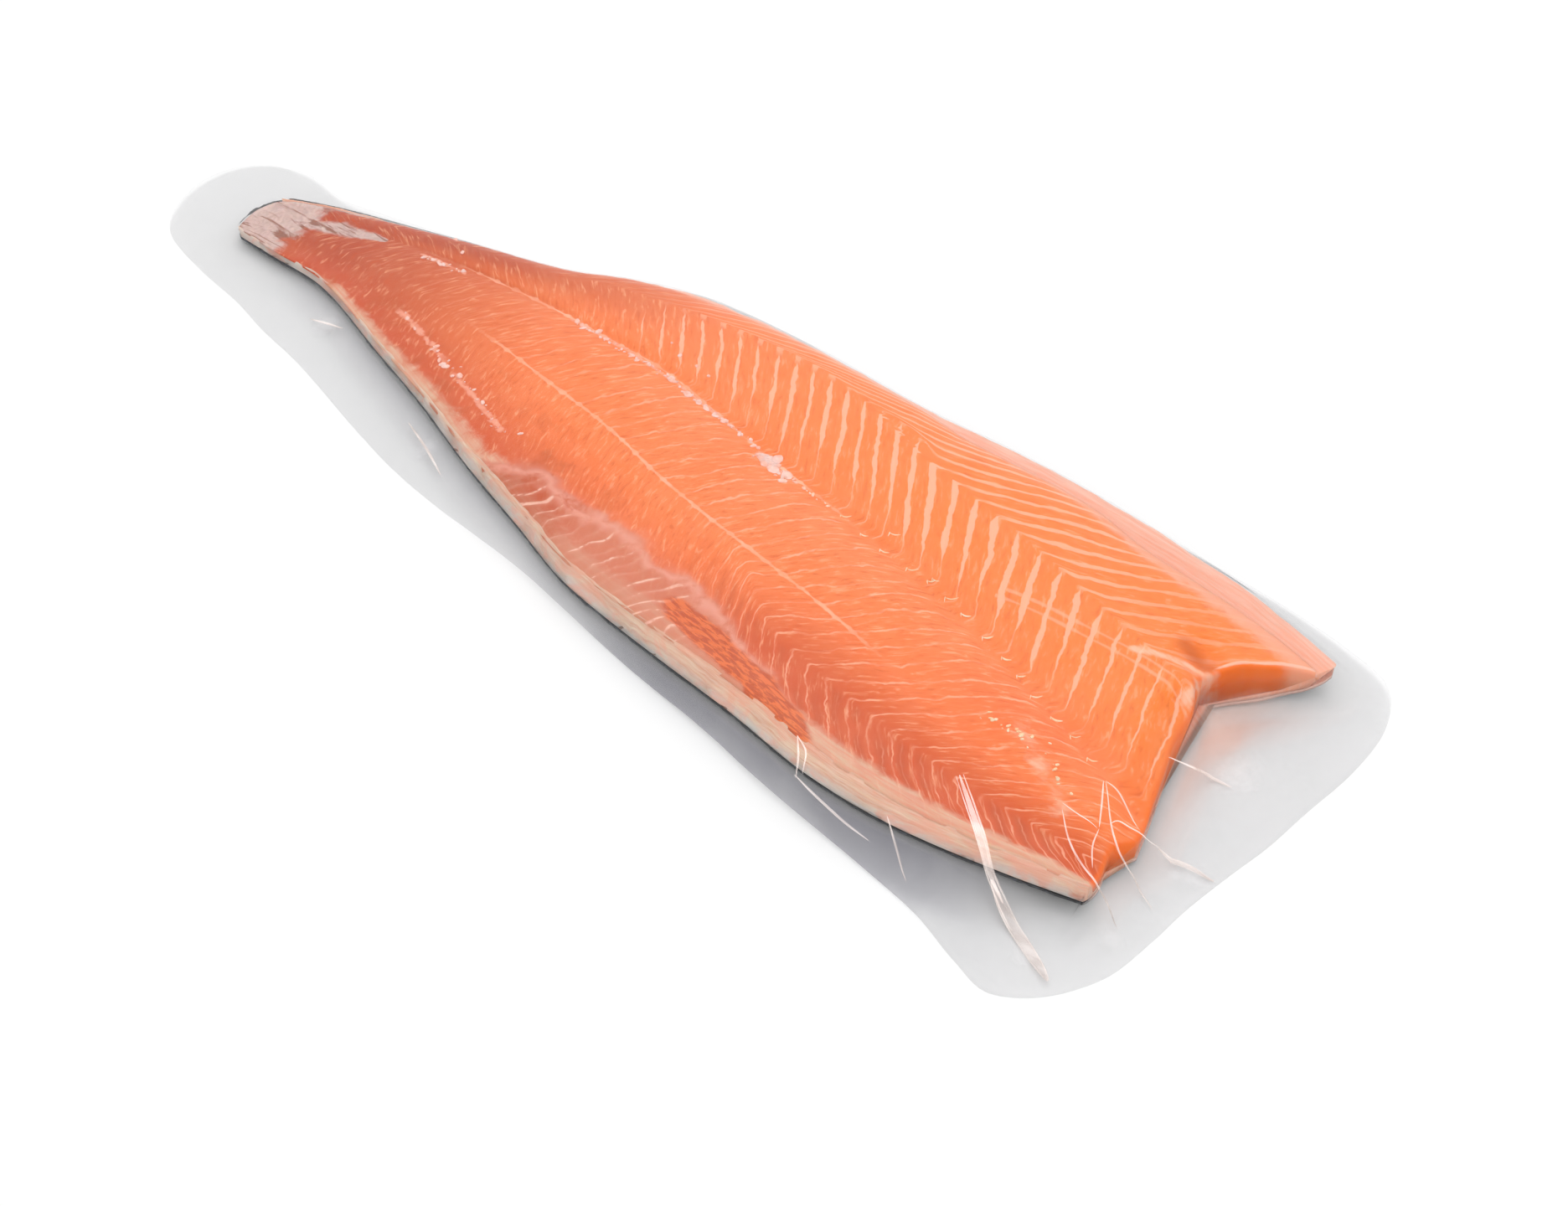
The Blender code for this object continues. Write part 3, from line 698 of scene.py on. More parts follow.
def flesh_fields(x, y, v):
    """What the flesh's material reads at each point: its place among the flakes and the zones of colour."""
    belly = centre_line(x) - belly_edge(x)
    back = back_edge(x) - centre_line(x)
    half = np.where(v < 0, belly, back)
    bend = np.where(v > 0, v / bend_at(x), v)
    streaks = step(x, -70, -30) * (0.72 + 0.28 * step(x, -10, 90)) * (1 - 0.55 * step(x, 185, 245))
    back_lines = 0.25 + 0.75 * step(x, 60, 220)
    chevrons = step(x, 20, 130)
    tail = 1 - step(x, -235, -35)
    tail = np.minimum(tail + 0.35 * step(v, 0.1, 0.5) * (1 - step(x, -70, 0)), 1.0)
    rear = step(-v, 0.45 - 0.15 * step(x, 40, 140), 0.95 - 0.2 * step(x, 40, 140))
    loin = step(v, -0.1, 0.35) * step(x, -60, 140)
    glow = bump(np.hypot((x - 212) / 42, (y + 24) / 15), 1.0)
    veil, lobe, ridge, rough = membrane_shape(x, y)
    strip = near_segment(x, y, (-244, 30), (-200, 42), 5 * (1 - step(x, -225, -186)) + 0.3)
    fold = near_segment(x, y, (-244, 46), (-206, 56), 3 * (1 - step(x, -230, -200)) + 0.3)
    tail_skin = np.maximum(1 - step(x, -252, -226), np.maximum(strip, fold))
    from_v = 0.86 - 0.12 * step(x, 150, 270)
    paleness = 0.4 + 0.6 * step(x, 60, 200) + 0.5 * bump(x - 42, 26)
    pale_back = step(v, from_v, 1.0) * paleness * step(x, -150, -110)
    beige = step(-v, 0.80, 0.98) * step(x, -236, -190) * (0.75 + 0.25 * step(x, 10, 60))
    band = np.where((x > 168) & (x < 262), np.abs(y - band_line(x)), 50.0)
    neck = near_segment(x, y, (228, 31), (256, 42), 2.4)
    neck = np.maximum(neck, near_segment(x, y, (256, 25), (257, 42), 3.6))
    neck = np.maximum(0.9 * neck, 0.62 * near_segment(x, y, (214, -27), (248, -48), 5.5))
    to_cut = x - head_cut_x(y)
    cut = step(to_cut, -2.4, -0.6)
    # Painted shade: the hollow at the neck, darkened where shade falls
    recess_painted_shade = near_segment(x, y, (241, 47), (253, 44.5), 4.0)
    lip = bump((to_cut + 2.6) / 1.3, 1.0) * step(y, 43, 48)
    tissue = 0 * x
    for reach, path in TISSUE_LINES:
        for start, end in zip(path, path[1:]):
            tissue = np.maximum(tissue, near_segment(x, y, start, end, reach))
    return (
        ("lane", np.stack([flake_phase(x, v), v, half], axis=-1)),
        ("zones", np.stack([streaks, back_lines, chevrons], axis=-1)),
        ("tint", np.stack([tail, rear, loin, glow], axis=-1)),
        ("cover", np.stack([veil, rough, tail_skin], axis=-1)),
        ("folds", np.stack([lobe, ridge, beige], axis=-1)),
        ("edges", np.stack([pale_back, band, neck], axis=-1)),
        ("ends", np.stack([cut, recess_painted_shade, lip], axis=-1)),
        ("bend", bend),
        ("tissue", tissue),
    )


def joined(*columns):
    return np.concatenate(columns, axis=1)


def flesh_object():
    """The flesh as one closed body, trimmed at the tail cut and the head cut with rounded top edges."""
    t = ring_shares(FLESH_RINGS)
    half = FLESH_LANES // 2
    v = np.concatenate([np.linspace(-1, 0, half, endpoint=False), np.linspace(0, 1, half)])
    x, y, end = lanes(v, t, belly_rim, back_rim)
    share = np.broadcast_to(v, x.shape)
    foot = under(x, y) + FLESH_FROM
    z = flesh_body(x, y, share) + flesh_relief(x, y, share)
    lost = 1 - np.sqrt(1 - (1 - np.clip(end / END_ROUNDING, 0, 1)) ** 2)
    z = np.maximum(z - lost * np.minimum(END_ROUNDING, 0.85 * (z - foot)), foot + 0.3)
    belly_wall = [x[:, :1], y[:, :1] - 0.35, 0.45 * z[:, :1] + 0.55 * foot[:, :1]]
    back_wall = [x[:, -1:], y[:, -1:] + 0.35, 0.45 * z[:, -1:] + 0.55 * foot[:, -1:]]
    top = [joined(a, b, c) for a, b, c in zip(belly_wall, (x, y, z), back_wall)]
    shares = joined(share[:, :1], share, share[:, -1:])
    low_v = np.array(UNDER_LANES)
    low_x, low_y, _ = lanes(low_v, t, belly_rim, back_rim)
    low_share = np.broadcast_to(low_v, low_x.shape)
    low = [low_x, low_y, under(low_x, low_y) + FLESH_FROM]
    fields = [
        (label, high, below)
        for (label, high), (_, below) in zip(
            flesh_fields(top[0], top[1], shares), flesh_fields(low_x, low_y, low_share)
        )
    ]
    return layer_object("flesh_body", np.stack(top, axis=-1), np.stack(low, axis=-1), fields)


def rim_columns(t, side, rim, shares, height):
    """Columns of points of a layer's rim on one side: shares run from its outer edge inwards."""
    xs = []
    ys = []
    for share in shares:
        def inset(x, share=share):
            jagged = 1.1 + mottle(x, 0 * x, 9.0, 13) + 0.5 * mottle(x, 0 * x, 3.0, 15)
            start = FAT_INSET + 0.5 * (1 - side) * np.maximum(jagged, 0) * (x > -250)
            return start + (rim(x) + 1.0 - start) * share

        x, y, _ = lanes(np.array([float(side)]), t, inset, inset)
        xs.append(x)
        ys.append(y)
    x = joined(*xs)
    y = joined(*ys)
    return x, y, under(x, y) + height(np.broadcast_to(np.array(shares), x.shape), x, side)


def fat_height(share, x, side):
    """Height of the rim of fat over the underside's curve, from its rounded outer edge to the flesh."""
    rounding = (1 - (1 - np.clip(share / 0.22, 0, 1)) ** 2.2) ** (1 / 2.2)
    inner = np.where(side < 0, BELLY_FAT_RISE * step(x, -200, 60) + TAIL_FAT_RISE, BACK_FAT_RISE)
    belly_swell = 0.8 * np.sin(math.pi * np.clip(share, 0, 1))
    return FAT_FROM + 0.3 + 1.2 * rounding + (FAT - 1.5 + inner) * share ** 0.9 + belly_swell


def fat_object():
    """The fat under the flesh, with the rim that swells up round it."""
    t = ring_shares(LAYER_RINGS)
    shares = np.linspace(0, 1, RIM_LANES) ** 1.4
    belly = rim_columns(t, -1, belly_rim, shares, fat_height)
    back = rim_columns(t, 1, back_rim, shares[::-1], fat_height)
    rims = []
    for x, y, z in (belly, back):
        z = z + 0.45 * mottle(x, y, 12.0, 14) + 0.3 * mottle(x, y, 5.0, 11) + 0.15 * mottle(x, y, 2.2, 12)
        rims.append((x, y, z))
    inner_v = np.array(UNDER_LANES[1:-1])
    x, y, _ = lanes(inner_v, t, belly_rim, back_rim)
    inner = (x, y, under(x, y) + FAT_FROM + FAT - 0.3)
    upper = [joined(a, b, c) for a, b, c in zip(rims[0], inner, rims[1])]
    low_v = np.array((-1.0,) + UNDER_LANES[1:-1] + (1.0,))
    x, y, _ = lanes(low_v, t, lambda x: FAT_INSET, lambda x: FAT_INSET)
    lower = [x, y, under(x, y) + FAT_FROM]
    fields = []
    for points in (upper, lower):
        x, y, z = points
        centre = centre_line(x)
        from_edge = np.where(y < centre, y - belly_edge(x), back_edge(x) - y)
        side = np.where(y < centre, 0.0, 1.0)
        fields.append(np.stack([x, from_edge, side], axis=-1))
    return layer_object(
        "fat_rim", np.stack(upper, axis=-1), np.stack(lower, axis=-1), [("lane", fields[0], fields[1])]
    )


def skin_object():
    """The skin that the fillet lies on, with its dark edge showing all round."""
    t = ring_shares(LAYER_RINGS)
    v = np.concatenate([np.linspace(-1, -0.5, 14), np.linspace(-0.3, 0.4, 5), np.linspace(0.55, 1, 14)])
    x, y, _ = lanes(v, t, lambda x: 0.45 + 0.3 * mottle(x, 0 * x, 5.0, 16) + 0.3 * mottle(x, 0 * x, 2.2, 18))
    edge = 1 - np.abs(v)
    thick = SKIN * (0.55 + 0.45 * np.clip(edge / 0.02, 0, 1))
    rough = 0.12 * mottle(x, y, 3.0, 21)
    upper = [x, y, under(x, y) + SKIN_FROM + thick + rough]
    lower = [x, y, under(x, y) + SKIN_FROM + rough]
    lane = np.stack([x, np.where(v < 0, y - belly_edge(x), back_edge(x) - y), np.sign(v) + 0 * x], axis=-1)
    faces = np.stack(upper, axis=-1), np.stack(lower, axis=-1)
    return layer_object("skin_side", *faces, [("lane", lane, lane)])


# Plan grid for the film's height, and how steeply the film falls from what it covers
GRID_STEP = 1.0
GRID_X = (-326.0, 326.0)
GRID_Y = (-126.0, 126.0)
FILM_SLOPE = 1.15
FILM_REACH = 26
FILM_CLEARANCE = 0.5


def content_top(x, y):
    """Height of the fish at a point of the plan, and 0 outside it."""
    v = flesh_share(x, y)
    centre = centre_line(x)
    full = (y - centre) / np.where(y < centre, centre - belly_edge(x), back_edge(x) - centre)
    flesh = flesh_body(x, y, np.clip(v, -1, 1)) + np.maximum(flesh_relief(x, y, np.clip(v, -1, 1)), 0)
    side = np.where(y < centre, -1.0, 1.0)
    from_edge = np.where(y < centre, y - belly_edge(x), back_edge(x) - y)
    rim_width = np.where(y < centre, belly_rim(x), back_rim(x)) + 1.0
    rim = under(x, y) + fat_height(np.clip(from_edge / rim_width, 0, 1), x, side)
    inside = (np.abs(full) <= 1) & (x > tail_cut_x(y)) & (x < head_cut_x(y))
    return np.where(inside, np.where(np.abs(v) <= 1, flesh, rim), 0.0)


def film_grid():
    """Heights of a film drawn tight over the fish, on the plan grid.

    It bridges hollows and falls away at a slope.
    """
    xs = np.arange(GRID_X[0], GRID_X[1] + 1, GRID_STEP)
    ys = np.arange(GRID_Y[0], GRID_Y[1] + 1, GRID_STEP)
    x, y = np.meshgrid(xs, ys, indexing="ij")
    top = content_top(x, y)
    tight = top.copy()
    for _ in range(FILM_REACH):
        for di, dj in ((1, 0), (-1, 0), (0, 1), (0, -1), (1, 1), (1, -1), (-1, 1), (-1, -1)):
            fall = FILM_SLOPE * GRID_STEP * math.hypot(di, dj)
            tight = np.maximum(tight, np.roll(tight, (di, dj), (0, 1)) - fall)
    for _ in range(3):
        for axis in (0, 1):
            tight = 0.25 * np.roll(tight, 1, axis) + 0.5 * tight + 0.25 * np.roll(tight, -1, axis)
    return np.maximum(tight, top) + FILM_CLEARANCE


FILM_GRID = film_grid()


def tight_film(x, y):
    """Height of the tight film at points of the plan, between the grid's own points."""
    u = np.clip((np.asarray(x, float) - GRID_X[0]) / GRID_STEP, 0, FILM_GRID.shape[0] - 1.001)
    w = np.clip((np.asarray(y, float) - GRID_Y[0]) / GRID_STEP, 0, FILM_GRID.shape[1] - 1.001)
    i = u.astype(int)
    j = w.astype(int)
    a = u - i
    b = w - j
    near = FILM_GRID[i, j] * (1 - a) + FILM_GRID[i + 1, j] * a
    far = FILM_GRID[i, j + 1] * (1 - a) + FILM_GRID[i + 1, j + 1] * a
    return near * (1 - b) + far * b


# The pouch's skirt: how the film leaves the fillet and waves out to its rim
SKIRT_DROP = 17.0
RIM_LIFT = 1.6
RIM_WAVES = 9
FILM_THICKNESS = 0.15
WEB_GAP = 0.45
FRONT_WEB = (281, 105, 21)
BACK_WEB = (141, 53, 15)
# Painted highlights on the film, as (x, y, reach, strength)
SHINES = (
    (282, 22, 12, 0.5), (296, -30, 9, 0.35), (290, -74, 6, 0.3), (-186, -11, 6, 0.5), (-88, -43, 6, 0.4),
    (268, -98, 7, 0.35),
)
PLEATS = (
    (148, -86, 3.0, 5.0), (206, -86, 2.6, 6.0), (222, -86, 3.4, 6.0), (276, -60, 3.2, 6.0),
    (276, -38, 3.0, 5.0), (268, -12, 2.6, 6.0), (-244, 5, 2.2, 8.0), (-128, -22, 1.8, 8.0),
)


def spaced(points, count):
    """Evenly spaced points on a polyline, from its first point up to but not including its last."""
    points = np.asarray(points, float)
    length = np.concatenate([[0], np.cumsum(np.hypot(*np.diff(points, axis=0).T))])
    at = np.linspace(0, length[-1], count, endpoint=False)
    return np.stack([np.interp(at, length, points[:, 0]), np.interp(at, length, points[:, 1])], axis=1)


def rounded(points, steps=10):
    """A closed smooth curve through points, as a polyline with the given steps between them."""
    p = np.asarray(points, float)
    before, after, far = np.roll(p, 1, 0), np.roll(p, -1, 0), np.roll(p, -2, 0)
    t = (np.arange(steps) / steps)[None, :, None]
    p, before, after, far = (q[:, None] for q in (p, before, after, far))
    curve = 0.5 * (
        2 * p + (after - before) * t + (2 * before - 5 * p + 4 * after - far) * t**2
        + (3 * p - before - 3 * after + far) * t**3
    )
    return curve.reshape(-1, 2)


def border(grid):
    """The grid's outer points in order: belly lane, head ring, back lane and tail ring."""
    return np.concatenate([grid[:-1, 0], grid[-1, :-1], grid[:0:-1, -1], grid[0, :0:-1]])


def border_numbers(rings, count):
    return border(np.arange(rings * count).reshape(rings, count))


def rim_outline(side, end):
    """Points round the pouch's rim: as many beside each lane and past each end as the grid has."""
    steps = 10
    runs = (RIM_BELLY, RIM_HEAD, RIM_BACK, RIM_TAIL)
    curve = rounded([p for run in runs for p in run], steps)
    curve = np.concatenate([curve, curve[:1]])
    outline = []
    start = 0
    for run, count in zip(runs, (side, end, side, end)):
        stop = start + len(run) * steps
        outline.append(spaced(curve[start:stop + 1], count))
        start = stop
    outline = np.concatenate(outline)
    low = outline.min(axis=0)
    high = outline.max(axis=0)
    size = np.array((PACK_LENGTH, PACK_WIDTH)) - 0.2
    return (outline - 0.5 * (low + high)) * size / (high - low)


def flattened(obj):
    """Replaces an object's mesh by what its modifiers make of it, and removes them."""
    mesh = bpy.data.meshes.new_from_object(obj.evaluated_get(bpy.context.evaluated_depsgraph_get()))
    obj.modifiers.clear()
    obj.data = mesh
    mesh.name = obj.name
    return obj


def grown(obj, tree, **values):
    """Runs a geometry tree on an object with the given inputs and keeps the result as a plain mesh."""
    modifier = obj.modifiers.new("grow", "NODES")
    modifier.node_group = bpy.data.node_groups[tree]
    for item in modifier.node_group.interface.items_tree:
        if item.in_out == "INPUT" and item.name in values:
            modifier[item.identifier] = values[item.name]
    flattened(obj)
    if max(vertex.co.z for vertex in obj.data.vertices) > 0.5 * DROP_FROM * MM:
        raise ValueError(f"{obj.name} has points that missed the surface below them")
    return obj


def dropped(net, start):
    """Drops the incoming points straight down onto the surface: the geometry, and the normal there."""
    surface = net.add("GeometryNodeObjectInfo")
    net.put(surface.inputs["Object"], start.outputs["Surface"])
    ray = net.add("GeometryNodeRaycast")
    net.put(ray.inputs["Target Geometry"], surface.outputs["Geometry"])
    net.put(ray.inputs["Ray Direction"], (0, 0, -1))
    net.put(ray.inputs["Ray Length"], 1.0)
    lift = net.add("ShaderNodeCombineXYZ")
    net.put(lift.inputs[2], start.outputs["Lift"])
    place = net.add("GeometryNodeSetPosition")
    net.put(place.inputs["Geometry"], start.outputs["Geometry"])
    net.put(place.inputs["Selection"], ray.outputs["Is Hit"])
    net.put(place.inputs["Position"], ray.outputs["Hit Position"])
    net.put(place.inputs["Offset"], lift.outputs[0])
    return place.outputs[0], ray.outputs["Hit Normal"]


def named(net, name, kind):
    node = net.add("GeometryNodeInputNamedAttribute", data_type=kind)
    node.inputs["Name"].default_value = name
    return node.outputs[0]


def make_crumb_tree():
    """Lumps strewn over a surface: one at each point, with the point's own size and turn."""
    tree = bpy.data.node_groups.new("Crumbs", "GeometryNodeTree")
    start, end = group_sockets(
        tree,
        (
            ("Geometry", "Geometry", None), ("Surface", "Object", None), ("Lift", "Float", 0.0),
            ("Lumps", "Float", 0.0004), ("Material", "Material", None),
        ),
        (("Geometry", "Geometry", None),),
    )
    net = Net(tree)
    points, normal = dropped(net, start)
    lie = net.add("FunctionNodeAlignRotationToVector", axis="Z")
    net.put(lie.inputs["Vector"], normal)
    spin = net.add("FunctionNodeAxisAngleToRotation")
    net.put(spin.inputs["Axis"], (0, 0, 1))
    net.put(spin.inputs["Angle"], named(net, "turn", "FLOAT"))
    turn = net.add("FunctionNodeRotateRotation", rotation_space="LOCAL")
    net.put(turn.inputs["Rotation"], lie.outputs[0])
    net.put(turn.inputs["Rotate By"], spin.outputs[0])
    ball = net.add("GeometryNodeMeshIcoSphere")
    ball.inputs["Radius"].default_value = 1.0
    ball.inputs["Subdivisions"].default_value = 3
    strewn = net.add("GeometryNodeInstanceOnPoints")
    net.put(strewn.inputs["Points"], points)
    net.put(strewn.inputs["Instance"], ball.outputs["Mesh"])
    net.put(strewn.inputs["Rotation"], turn.outputs[0])
    net.put(strewn.inputs["Scale"], named(net, "size", "FLOAT_VECTOR"))
    real = net.add("GeometryNodeRealizeInstances")
    net.put(real.inputs[0], strewn.outputs[0])
    here = net.add("GeometryNodeInputPosition")
    shift = net.add("ShaderNodeVectorMath", operation="SCALE")
    facing = net.add("GeometryNodeInputNormal")
    net.put(shift.inputs[0], facing.outputs[0])
    noise = net.noise(here.outputs[0], 900.0, 2.0)
    net.put(shift.inputs["Scale"], net.product(net.scaled(noise, 2.0, -1.0), start.outputs["Lumps"]))
    lumpy = net.add("GeometryNodeSetPosition")
    net.put(lumpy.inputs["Geometry"], real.outputs[0])
    net.put(lumpy.inputs["Offset"], shift.outputs[0])
    cover = net.add("GeometryNodeSetMaterial")
    net.put(cover.inputs["Geometry"], lumpy.outputs[0])
    net.put(cover.inputs["Material"], start.outputs["Material"])
    net.put(end.inputs["Geometry"], cover.outputs[0])


def make_strand_tree():
    """Strands that follow paths over a surface: a flattened round section, as wide as each point says."""
    tree = bpy.data.node_groups.new("Strands", "GeometryNodeTree")
    start, end = group_sockets(
        tree,
        (
            ("Geometry", "Geometry", None), ("Surface", "Object", None), ("Lift", "Float", 0.0),
            ("Flatness", "Float", 0.5), ("Material", "Material", None),
        ),
        (("Geometry", "Geometry", None),),
    )
    net = Net(tree)
    points, _ = dropped(net, start)
    curve = net.add("GeometryNodeMeshToCurve")
    net.put(curve.inputs["Mesh"], points)
    radius = net.add("GeometryNodeSetCurveRadius")
    net.put(radius.inputs[0], curve.outputs[0])
    net.put(radius.inputs["Radius"], named(net, "size", "FLOAT"))
    upright = net.add("GeometryNodeSetCurveNormal", mode="Z_UP")
    net.put(upright.inputs[0], radius.outputs[0])
    circle = net.add("GeometryNodeCurvePrimitiveCircle")
    circle.inputs["Resolution"].default_value = 10
    circle.inputs["Radius"].default_value = 1.0
    squash = net.add("GeometryNodeTransform")
    net.put(squash.inputs["Geometry"], circle.outputs[0])
    flat = net.add("ShaderNodeCombineXYZ")
    net.put(flat.inputs[0], 1.0)
    net.put(flat.inputs[1], start.outputs["Flatness"])
    net.put(flat.inputs[2], 1.0)
    net.put(squash.inputs["Scale"], flat.outputs[0])
    swept = net.add("GeometryNodeCurveToMesh")
    net.put(swept.inputs["Curve"], upright.outputs[0])
    net.put(swept.inputs["Profile Curve"], squash.outputs[0])
    net.put(swept.inputs["Scale"], named(net, "size", "FLOAT"))
    net.put(swept.inputs["Fill Caps"], True)
    real = net.add("GeometryNodeRealizeInstances")
    net.put(real.inputs[0], swept.outputs[0])
    cover = net.add("GeometryNodeSetMaterial")
    net.put(cover.inputs["Geometry"], real.outputs[0])
    net.put(cover.inputs["Material"], start.outputs["Material"])
    net.put(end.inputs["Geometry"], cover.outputs[0])


# Fat on the flesh: stretches strewn with crumbs as (from, to, count, spread, longest), and single spots
DROP_FROM = 60.0
CRUMB_RUNS = (
    ((-150, 45), (-176, 43.5), 18, 0.8, 2.4), ((-84, 49), (-16, 43), 38, 0.7, 2.4),
    ((-16, 42.5), (38, 32), 32, 0.5, 2.0), ((40, 29), (62, 25), 28, 1.5, 3.4),
    ((62, 25.5), (84, 22), 9, 0.4, 1.4), ((-158, 10), (-128, 1), 6, 1.2, 1.4),
    ((-128, 1), (-104, -8), 12, 1.7, 2.4), ((-104, -8), (-54, -24), 16, 1.8, 1.6),
    ((198, -31), (218, -30), 14, 1.1, 1.3), ((222, -28), (250, -45), 12, 2.5, 1.2),
)
SPOTS = (
    (-27.7, 57.1, 1.3), (-16.8, 55.8, 1.0), (-8.2, 53.7, 0.9), (-161, 55, 1.3), (-172, 61, 1.5),
    (-36, 61, 0.7),
)
HOOKS = (
    (91, 21), (104, 17.5), (116, 15), (131, 13), (142, 12), (153, 9), (163, 6), (177, 1), (189, -3),
    (199, -7), (209, -12), (221, -16), (232, -19), (243, -24), (114, 24), (143, 14),
)


def crumb_points():
    """Places, sizes and turns of the crumbs of fat."""
    chance = np.random.default_rng(17)
    places = []
    sizes = []
    for first, last, count, spread, longest in CRUMB_RUNS:
        t = (np.arange(count) + chance.uniform(0, 1, count)) / count
        run = np.array(first)[None] + (np.array(last) - first)[None] * t[:, None]
        places.append(run + chance.normal(0, spread, run.shape))
        long = longest * chance.uniform(0.3, 1.0, count) ** 1.5
        sizes.append(np.stack([long, long * chance.uniform(0.4, 0.8, count), 0.3 + 0.1 * long], axis=-1))
    spots = np.array(SPOTS)
    places.append(spots[:, :2])
    sizes.append(np.stack([spots[:, 2], 0.75 * spots[:, 2], 0 * spots[:, 2] + 0.34], axis=-1))
    places = np.concatenate(places)
    turns = chance.uniform(0.1, 1.2, len(places))
    points = np.column_stack([places, np.full(len(places), DROP_FROM)])
    return points, np.concatenate(sizes) * MM, turns


def strand_paths(paths):
    """Points, edges and widths of paths given as (width, (x, y) points), tapered to both ends."""
    points = []
    edges = []
    widths = []
    for width, path in paths:
        path = np.asarray(path, float)
        count = max(8, int(np.hypot(*np.diff(path, axis=0).T).sum() / 0.9))
        at = np.linspace(0, len(path) - 1, count)
        order = np.arange(len(path))
        xy = np.stack([smooth_line(np.column_stack([order, path[:, k]]))(at) for k in (0, 1)], axis=-1)
        first = len(points)
        points += [(x, y, DROP_FROM) for x, y in xy]
        edges += [(first + k, first + k + 1) for k in range(count - 1)]
        taper = np.sin(math.pi * np.linspace(0.02, 0.98, count)) ** 0.6
        widths.append(width * taper * MM)
    return np.array(points), edges, np.concatenate(widths)


def hook_paths():
    """The little hooks of fat where the sheets leave the centre line near the head."""
    chance = np.random.default_rng(23)
    paths = []
    for x, y in HOOKS:
        angle = math.radians(22 + chance.uniform(-14, 14))
        long = chance.uniform(3.0, 5.6)
        ahead = (x + long * math.cos(angle), y + long * math.sin(angle))
        middle = (x + 0.5 * long * math.cos(angle - 0.3), y + 0.5 * long * math.sin(angle - 0.3))
        leg = (x + chance.uniform(0.4, 1.2), y - chance.uniform(0.8, 2.0))
        paths.append((chance.uniform(0.26, 0.5), ((x, y), middle, ahead)))
        paths.append((chance.uniform(0.15, 0.3), (leg, (x, y - 0.2), (x - 0.3, y + 0.5))))
    return paths


# Folds of the film as (half width, points): sharp pleats at the head's belly corner, and softer ones, drawn
# white and glowing as painted highlights
FILM_FOLDS = (
    (0.34, ((254.1, -30.2), (259.3, -39.0), (263.2, -45.9))),
    (0.30, ((263.5, -46.4), (265.2, -52.8), (269.6, -58.9))),
    (0.38, ((255.2, -30.3), (264.2, -40.4), (271.2, -45.7), (276.4, -47.0), (283.9, -48.1), (292.6, -52.4))),
    (0.32, ((254.8, -29.6), (262.2, -30.5), (273.7, -35.2))),
    (0.32, ((265.3, -42.0), (267.7, -38.2), (277.1, -35.4), (281.9, -31.4))),
    (0.40, ((248.4, -48.3), (256.6, -56.0), (264.9, -60.4), (279.8, -64.2), (287.4, -67.7))),
    (0.26, ((246.9, -46.1), (254.0, -46.7), (263.1, -46.8))),
    (0.45, ((209.3, -55.9), (220.5, -64.4), (233.2, -75.3), (241.3, -82.0), (251.7, -86.4), (260.3, -89.6))),
    (0.32, ((207.5, -58.0), (218.0, -66.5), (230.5, -77.0), (239.5, -83.5), (249.0, -88.0), (258.0, -92.0))),
    (2.30, ((243.0, -84.5), (251.7, -88.4), (262.3, -92.6), (273.9, -98.5), (281.1, -102.6))),
    (1.15, ((208.4, -57.0), (219.2, -65.5), (231.8, -76.2), (240.4, -82.8), (250.4, -87.2))),
    (1.10, ((281.6, -32.2), (289.3, -28.6), (303.2, -26.8))),
    (0.70, ((264.6, -0.8), (274.8, 13.3), (284.8, 15.7))),
    (0.40, ((149.1, -79.9), (155.0, -86.7), (158.1, -92.1))),
    (0.34, ((149.1, -79.9), (156.3, -83.8), (160.0, -90.4))),
    (0.60, ((-107.0, -36.0), (-89.0, -43.0), (-72.0, -51.0))),
    (0.60, ((-196.0, -12.5), (-187.0, -11.0), (-176.0, -9.8))),
    (0.40, ((198.0, -88.0), (206.0, -93.0), (216.0, -99.5))),
    (0.55, ((157.0, -91.5), (168.0, -93.5), (184.0, -95.5), (196.0, -96.0))),
)


def skirt_rings(edge, rim, count):
    """The skirt's rings beyond the fillet's edge: plan, share of the way out, and height of the back web."""
    share = np.linspace(0, 1, count)[1:, None]
    plan = edge[None] + (rim - edge)[None] * share[..., None]
    width = np.hypot(*(rim - edge).T)
    fall = 1 - ease(width * share / np.minimum(SKIRT_DROP, width))
    turn = np.arange(len(edge)) / len(edge)
    wave = RIM_LIFT * share * (0.5 - 0.5 * np.cos(turn * 2 * math.pi * RIM_WAVES))
    wave = wave + 0.5 * share * (mottle(turn * 90, share * 3, 1.0, 31) + 1)
    pleat = 0 * share
    for at_x, at_y, size, spread in PLEATS:
        pleat = pleat + size * bump(np.hypot(edge[:, 0] - at_x, edge[:, 1] - at_y), spread)
    pleat = pleat * np.sin(math.pi * np.minimum(share * 1.15, 1.0))
    lift = under(edge[:, 0], edge[:, 1])
    return plan, share, lift * fall + wave + 0.7 * pleat + FILM_FROM


